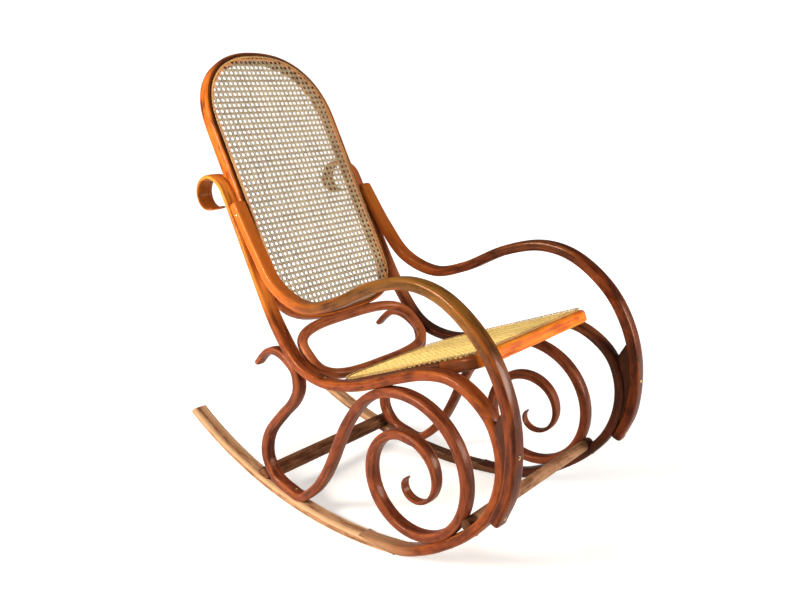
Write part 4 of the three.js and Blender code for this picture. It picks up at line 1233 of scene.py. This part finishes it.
def wood(tree, tones, amount, gloss, coat, groove=None, painted_light_by_height=None):
    """Stained and varnished wood: three tones by the grain, dark pores, rubbed ridges and scuffs, and painted
    light and shade.
    """
    dark, mid, light = (tone(name) for name in tones)
    timber = field(tree, "timber", "Vector")
    grained = node(tree, "ShaderNodeGroup", {"Timber": timber}, node_tree=group("grain"))
    worn = node(tree, "ShaderNodeGroup", {
        "Timber": timber, "Ridge": field(tree, "ridge"), "Amount": amount}, node_tree=group("wear"))
    fibres, pores, clouds, relief = (Signal(output) for output in grained.outputs)
    rubbed, scuffs, dents = (Signal(output) for output in worn.outputs)
    ramp = node(tree, "ShaderNodeValToRGB", {"Fac": fibres})
    steps = ramp.color_ramp.elements
    steps[0].position, steps[0].color = 0.05, dark
    steps[1].position, steps[1].color = 0.98, tuple(0.62 * m + 0.38 * p for m, p in zip(mid, light))
    steps.new(0.52).color = mid
    base = mixed(ranged(clouds, 0.52, 0.36) * 0.35, Signal(ramp.outputs["Color"]), dark)
    base = mixed(pores * 0.45, base, dark)
    # Painted light and the groove field's tone let the darker fibres through
    cover = ranged(fibres, 0.05, 0.62, 0.42, 1.0)
    # Painted light and shade by height: upper parts lighter, and the hoop's top darker
    if painted_light_by_height:
        low, high, share, name = painted_light_by_height
        place = signal(tree, "ShaderNodeTexCoord", "Object")
        height = signal(tree, "ShaderNodeSeparateXYZ", "Z", {"Vector": place}) + clouds * 0.06
        base = mixed(ranged(height, low + 0.03, high + 0.03) * share * cover, base, tone(name))
    # Painted shade on faces: inside the ears' curls and on the armrests' sides
    base = mixed(field(tree, "soot") * 0.55, base, dark)
    base = mixed(rubbed * 0.75, base, light)
    base = mixed(scuffs * 0.5, base, light)
    # The groove field's tone: the back's groove and worn bare wood, painted light on the arms' upper ends,
    # and painted shade under the back's cane, at the seat's corners, the bar's ends and the far runner's
    # front
    if groove:
        base = mixed(field(tree, "groove") * 0.95 * ranged(cover, 0.42, 1.0, 0.75, 1.0), base, tone(groove))
    return {
        "Base Color": base, "Roughness": ranged(clouds, 0.3, 0.7, gloss, gloss + 0.14) + rubbed * 0.16,
        "Normal": bump(relief + dents * 1.4, 0.35, 0.0006), "Specular IOR Level": 0.24,
        "Specular Tint": (1.0, 0.38, 0.16, 1.0), "Coat Weight": coat, "Coat Roughness": 0.09,
    }


def cane(tree, light, dark, gloss, stain=None):
    """Split cane: each strand has its own tone, fine lines along it, darker nodes and a glossy bark."""
    timber = field(tree, "timber", "Vector")
    strand = ranged(noise(timber, (4.0, 90.0, 4.0)), 0.3, 0.7)
    lines = noise(timber, (30.0, 5200.0, 900.0))
    nodes = ranged(noise(timber, (38.0, 12.0, 12.0), 1.0), 0.66, 0.74)
    base = mixed(ranged(strand * 0.6 + lines * 0.4, 0.15, 0.75), tone(dark), tone(light))
    base = mixed(nodes * 0.6, base, tone(dark))
    # Strands over the back frame: varnish, and painted reflection of the orange wood beneath
    if stain:
        base = mixed(field(tree, "rim") * 0.9, base, tone(stain))
    return {"Base Color": base, "Roughness": strand * 0.2 + gloss, "Normal": bump(lines, 0.3, 0.0003),
            "Specular IOR Level": 0.4}


def brass(tree):
    """Old brass: bright where it is rubbed and brown where it is tarnished."""
    tarnish = ranged(noise(field(tree, "timber", "Vector"), (420.0, 420.0, 420.0), 3.0), 0.42, 0.62)
    return {"Base Color": mixed(tarnish, tone("brass"), (0.16, 0.09, 0.04, 1.0)), "Metallic": 0.9,
            "Roughness": ranged(tarnish, 0.0, 1.0, 0.24, 0.5), "Normal": bump(tarnish, 0.2, 0.0002)}


def paper(tree):
    """Plain studio paper, very slightly uneven, that looks lit where the camera sees it far away."""
    place = signal(tree, "ShaderNodeTexCoord", "Object")
    bright = tone("floor")
    dull = (*(0.985 * part for part in bright[:3]), 1.0)
    reach = signal(tree, "ShaderNodeVectorMath", "Value", {0: place}, operation="LENGTH")
    seen = signal(tree, "ShaderNodeLightPath", "Is Camera Ray")
    return {"Base Color": mixed(noise(place, (0.6, 0.6, 0.6)), bright, dull), "Roughness": 0.9,
            "Specular IOR Level": 0.1, "Emission Color": (1.0, 1.0, 1.0, 1.0),
            "Emission Strength": seen * ranged(reach, 0.7, 3.0, 0.40, 0.95)}


# Three tones, wear, roughness, coat, the groove field's tone (grooves, worn bare wood, painted light and
# painted shade), and painted light and shade by height: from, to, how much, and towards which tone
VARNISH, ARM, BARE = (
    tuple(f"{word}_{depth}" for depth in ("dark", "mid", "light")) for word in ("varnish", "arm", "bare"))
WOODS = {
    # The near side bends: painted light on their upper parts by height, and the worn runner's bare tone where
    # they meet the runner
    "varnish": (VARNISH, 0.45, 0.28, 0.08, "bare_mid", (0.43, 0.56, 0.85, "golden")),
    # The far side bends: a darker copy of the varnish, painted shade, with painted light on their upper parts
    "far_varnish": (("night", "scroll_dark", "varnish_mid"), 0.35, 0.28, 0.08, None,
                    (0.38, 0.46, 0.90, "scroll_light")),
    # The arms' upper parts take a painted reflection by height, weaker on the far arm
    "arm": (ARM, 0.42, 0.26, 0.12, "hoop_mid", (0.43, 0.65, 0.72, "olive")),
    "far_arm": (ARM, 0.42, 0.26, 0.12, "hoop_mid", (0.56, 0.70, 0.40, "olive")),
    "scroll": (("scroll_dark", "scroll_mid", "scroll_light"), 0.50, 0.30, 0.08),
    "ring": (("scroll_mid", "scroll_light", "varnish_light"), 0.45, 0.28, 0.10),
    # Painted shade, for the wedges and the seat's side and rear rails
    "shade": (("night", "scroll_dark", "scroll_mid"), 0.50, 0.32, 0.05),
    # The back frame: its top darkened with painted shade by height
    "back": (("varnish_dark", "hoop_mid", "golden"), 0.40, 0.28, 0.08, "scroll_dark",
             (1.00, 1.045, 0.85, "night")),
    "seat": (("seat_dark", "seat_mid", "seat_light"), 0.40, 0.30, 0.06, "scroll_dark"),
    "bare": (BARE, 0.85, 0.45, 0.0),
    # The far runners: the front half darkened with painted shade
    "far_bare": (BARE, 0.60, 0.45, 0.0, "night"),
    # The front bar: its ends darkened with painted shade
    "bar": (BARE, 0.70, 0.42, 0.0, "night"),
    "rear_bar": (("scroll_dark", "bare_dark", "bare_mid"), 0.60, 0.44, 0.0),
}
OTHER_FINISHES = {
    "back_cane": ("Cane of the back", cane, "back_cane", "back_cane_dark", 0.42, "cane_stain"),
    "seat_cane": ("Cane of the seat", cane, "seat_cane", "seat_cane_dark", 0.36),
    "binder": ("Binder cane", cane, "binder_cane", "back_cane_dark", 0.34),
    "brass": ("Old brass", brass),
    "floor": ("Studio paper", paper),
}
WOOD_GROUPS = {
    "grain": ({"Timber": "Vector"}, grain),
    "wear": ({"Timber": "Vector", "Ridge": "Float", "Amount": "Float"}, wear),
}
MADE = {}


def tone(name):
    """A colour of the panel by its name."""
    return tuple(getattr(chair, name))


def group(name):
    """The node group of a name, made once."""
    if name not in MADE:
        MADE[name] = node_group("Wood " + name, *WOOD_GROUPS[name])
    return MADE[name]


def finish(name):
    """The material of a name, made once."""
    if name not in MADE:
        MADE[name] = new_material(*(OTHER_FINISHES.get(name) or ("Wood, " + name, wood, *WOODS[name])))
    return MADE[name]


# Stage

def placed(name, data, place, *axes):
    """An object at a place, turned so that its own axes point along the three given."""
    holder = bpy.data.objects.new(name, data)
    holder.matrix_world = Matrix.Translation(place) @ Matrix(np.column_stack(axes).tolist()).to_4x4()
    bpy.context.scene.collection.objects.link(holder)
    return holder


# The photograph's camera: place, the directions to its right and upwards, and its lens
CAMERA_PLACE = (-1.4549, -1.2424, 0.951)
CAMERA_RIGHT = (0.63864, -0.76915, -0.0235)
CAMERA_UP = (0.19741, 0.13424, 0.97109)
CAMERA_LENS = 38.25
# Name, place, target, size, power and tone
LAMPS = (
    ("Right", (1.9, -3.0, 1.3), (0, -0.1, 0.45), 1.5, 112.0, (1.0, 0.95, 0.88)),
    ("Left", (-2.2, 0.8, 1.2), (-0.1, 0.2, 0.75), 0.9, 104.0, (1.0, 0.94, 0.84)),
    ("Top", (0.3, 0.2, 3.6), (0, 0, 0.3), 2.2, 12.0, (1.0, 0.98, 0.95)),
    ("Front", (-2.6, -2.6, 1.6), (0, 0, 0.5), 0.8, 8.0, (1.0, 0.97, 0.93)),
)
FLOOR_RADIUS, RIM_RADIUS = 7.0, 2.5


class SCENE_OT_chair_stage(bpy.types.Operator):
    """Stage: a pale floor that rises at its far rim, soft lights and the photograph's camera"""
    bl_idname = "scene.chair_stage"
    bl_label = "Stage"

    def execute(self, context):
        # A flat disc whose rim is part of a quarter circle
        rim = np.radians(np.linspace(8, 80, 14))[:, None]
        flat_part = np.linspace(0.05, FLOOR_RADIUS, 30)[:, None]
        radius = np.vstack([flat_part, FLOOR_RADIUS + RIM_RADIUS * np.sin(rim)])
        height = np.vstack([0 * flat_part, RIM_RADIUS * (1 - np.cos(rim))])
        turn = np.linspace(0, 2 * math.pi, 96, endpoint=False)
        grid = np.stack(np.broadcast_arrays(radius * np.cos(turn), radius * np.sin(turn), height), axis=-1)
        faces = [part[:, ::-1] for part in tube_faces(*grid.shape[:2])[:2]]
        add_mesh("studio_floor", np.vstack([grid.reshape(-1, 3), [[0, 0, 0]]]), faces, {}, "floor")

        # The walls look white, and light the chair less than the lamps do
        world = bpy.data.worlds.new("Studio")
        world.use_nodes = True
        tree = world.node_tree
        tree.nodes.clear()
        seen, glossy = (
            signal(tree, "ShaderNodeLightPath", f"Is {kind} Ray") for kind in ("Camera", "Glossy"))
        dim, bright = (
            signal(tree, "ShaderNodeBackground", 0, {"Color": tint, "Strength": strength})
            for tint, strength in (((1.0, 0.97, 0.93, 1.0), ranged(glossy, 0.0, 1.0, 0.19, 0.05)),
                                   ((1.0, 1.0, 1.0, 1.0), 1.05)))
        both = signal(tree, "ShaderNodeMixShader", 0, {0: seen, 1: dim, 2: bright})
        node(tree, "ShaderNodeOutputWorld", {"Surface": both})
        context.scene.world = world
        context.scene.view_settings.view_transform = "Standard"

        for name, place, target, size, power, tint in LAMPS:
            lamp = bpy.data.lights.new(name, "AREA")
            lamp.shape, lamp.size, lamp.energy, lamp.color = "DISK", size, power, tint
            away = unit(np.subtract(place, target))
            side = unit(np.cross(OUT, away))
            placed(name, lamp, place, side, np.cross(away, side), away)

        camera = bpy.data.cameras.new("Camera")
        camera.lens, camera.sensor_width, camera.clip_end = CAMERA_LENS, 36.0, 60.0
        right = unit(np.array(CAMERA_RIGHT))
        back = unit(np.cross(right, CAMERA_UP))
        context.scene.camera = placed("Camera", camera, CAMERA_PLACE, right, np.cross(back, right), back)
        return {"FINISHED"}


class VIEW3D_PT_chair(bpy.types.Panel):
    """Buttons for the chair's pieces and its sizes"""
    bl_label = "Rocking chair"
    bl_idname = "VIEW3D_PT_chair"
    bl_space_type = "VIEW_3D"
    bl_region_type = "UI"
    bl_category = "Chair"

    def draw(self, context):
        for operator in OPERATORS:
            self.layout.operator(operator.bl_idname)
        for slot, kind in GROUPS.items():
            box = self.layout.box()
            for name in kind.__annotations__:
                box.prop(getattr(context.scene, slot), name)


OPERATORS = (
    MESH_OT_chair_side_bends, MESH_OT_chair_runners, MESH_OT_chair_scrolls, MESH_OT_chair_arms,
    MESH_OT_chair_back, MESH_OT_chair_ring, MESH_OT_chair_seat, MESH_OT_chair_stretchers,
    MESH_OT_chair_cane, MESH_OT_chair_screws, SCENE_OT_chair_stage,
)
CLASSES = (*GROUPS.values(), *OPERATORS, VIEW3D_PT_chair)


def register():
    for operator in OPERATORS:
        operator.bl_options = {"REGISTER", "UNDO"}
    for cls in CLASSES:
        bpy.utils.register_class(cls)
    for slot, kind in GROUPS.items():
        setattr(bpy.types.Scene, slot, bpy.props.PointerProperty(type=kind))


def unregister():
    for slot in GROUPS:
        delattr(bpy.types.Scene, slot)
    for cls in reversed(CLASSES):
        bpy.utils.unregister_class(cls)


def main():
    register()
    for operator in OPERATORS:
        module, name = operator.bl_idname.split(".")
        getattr(getattr(bpy.ops, module), name)()


if __name__ == "__main__":
    main()
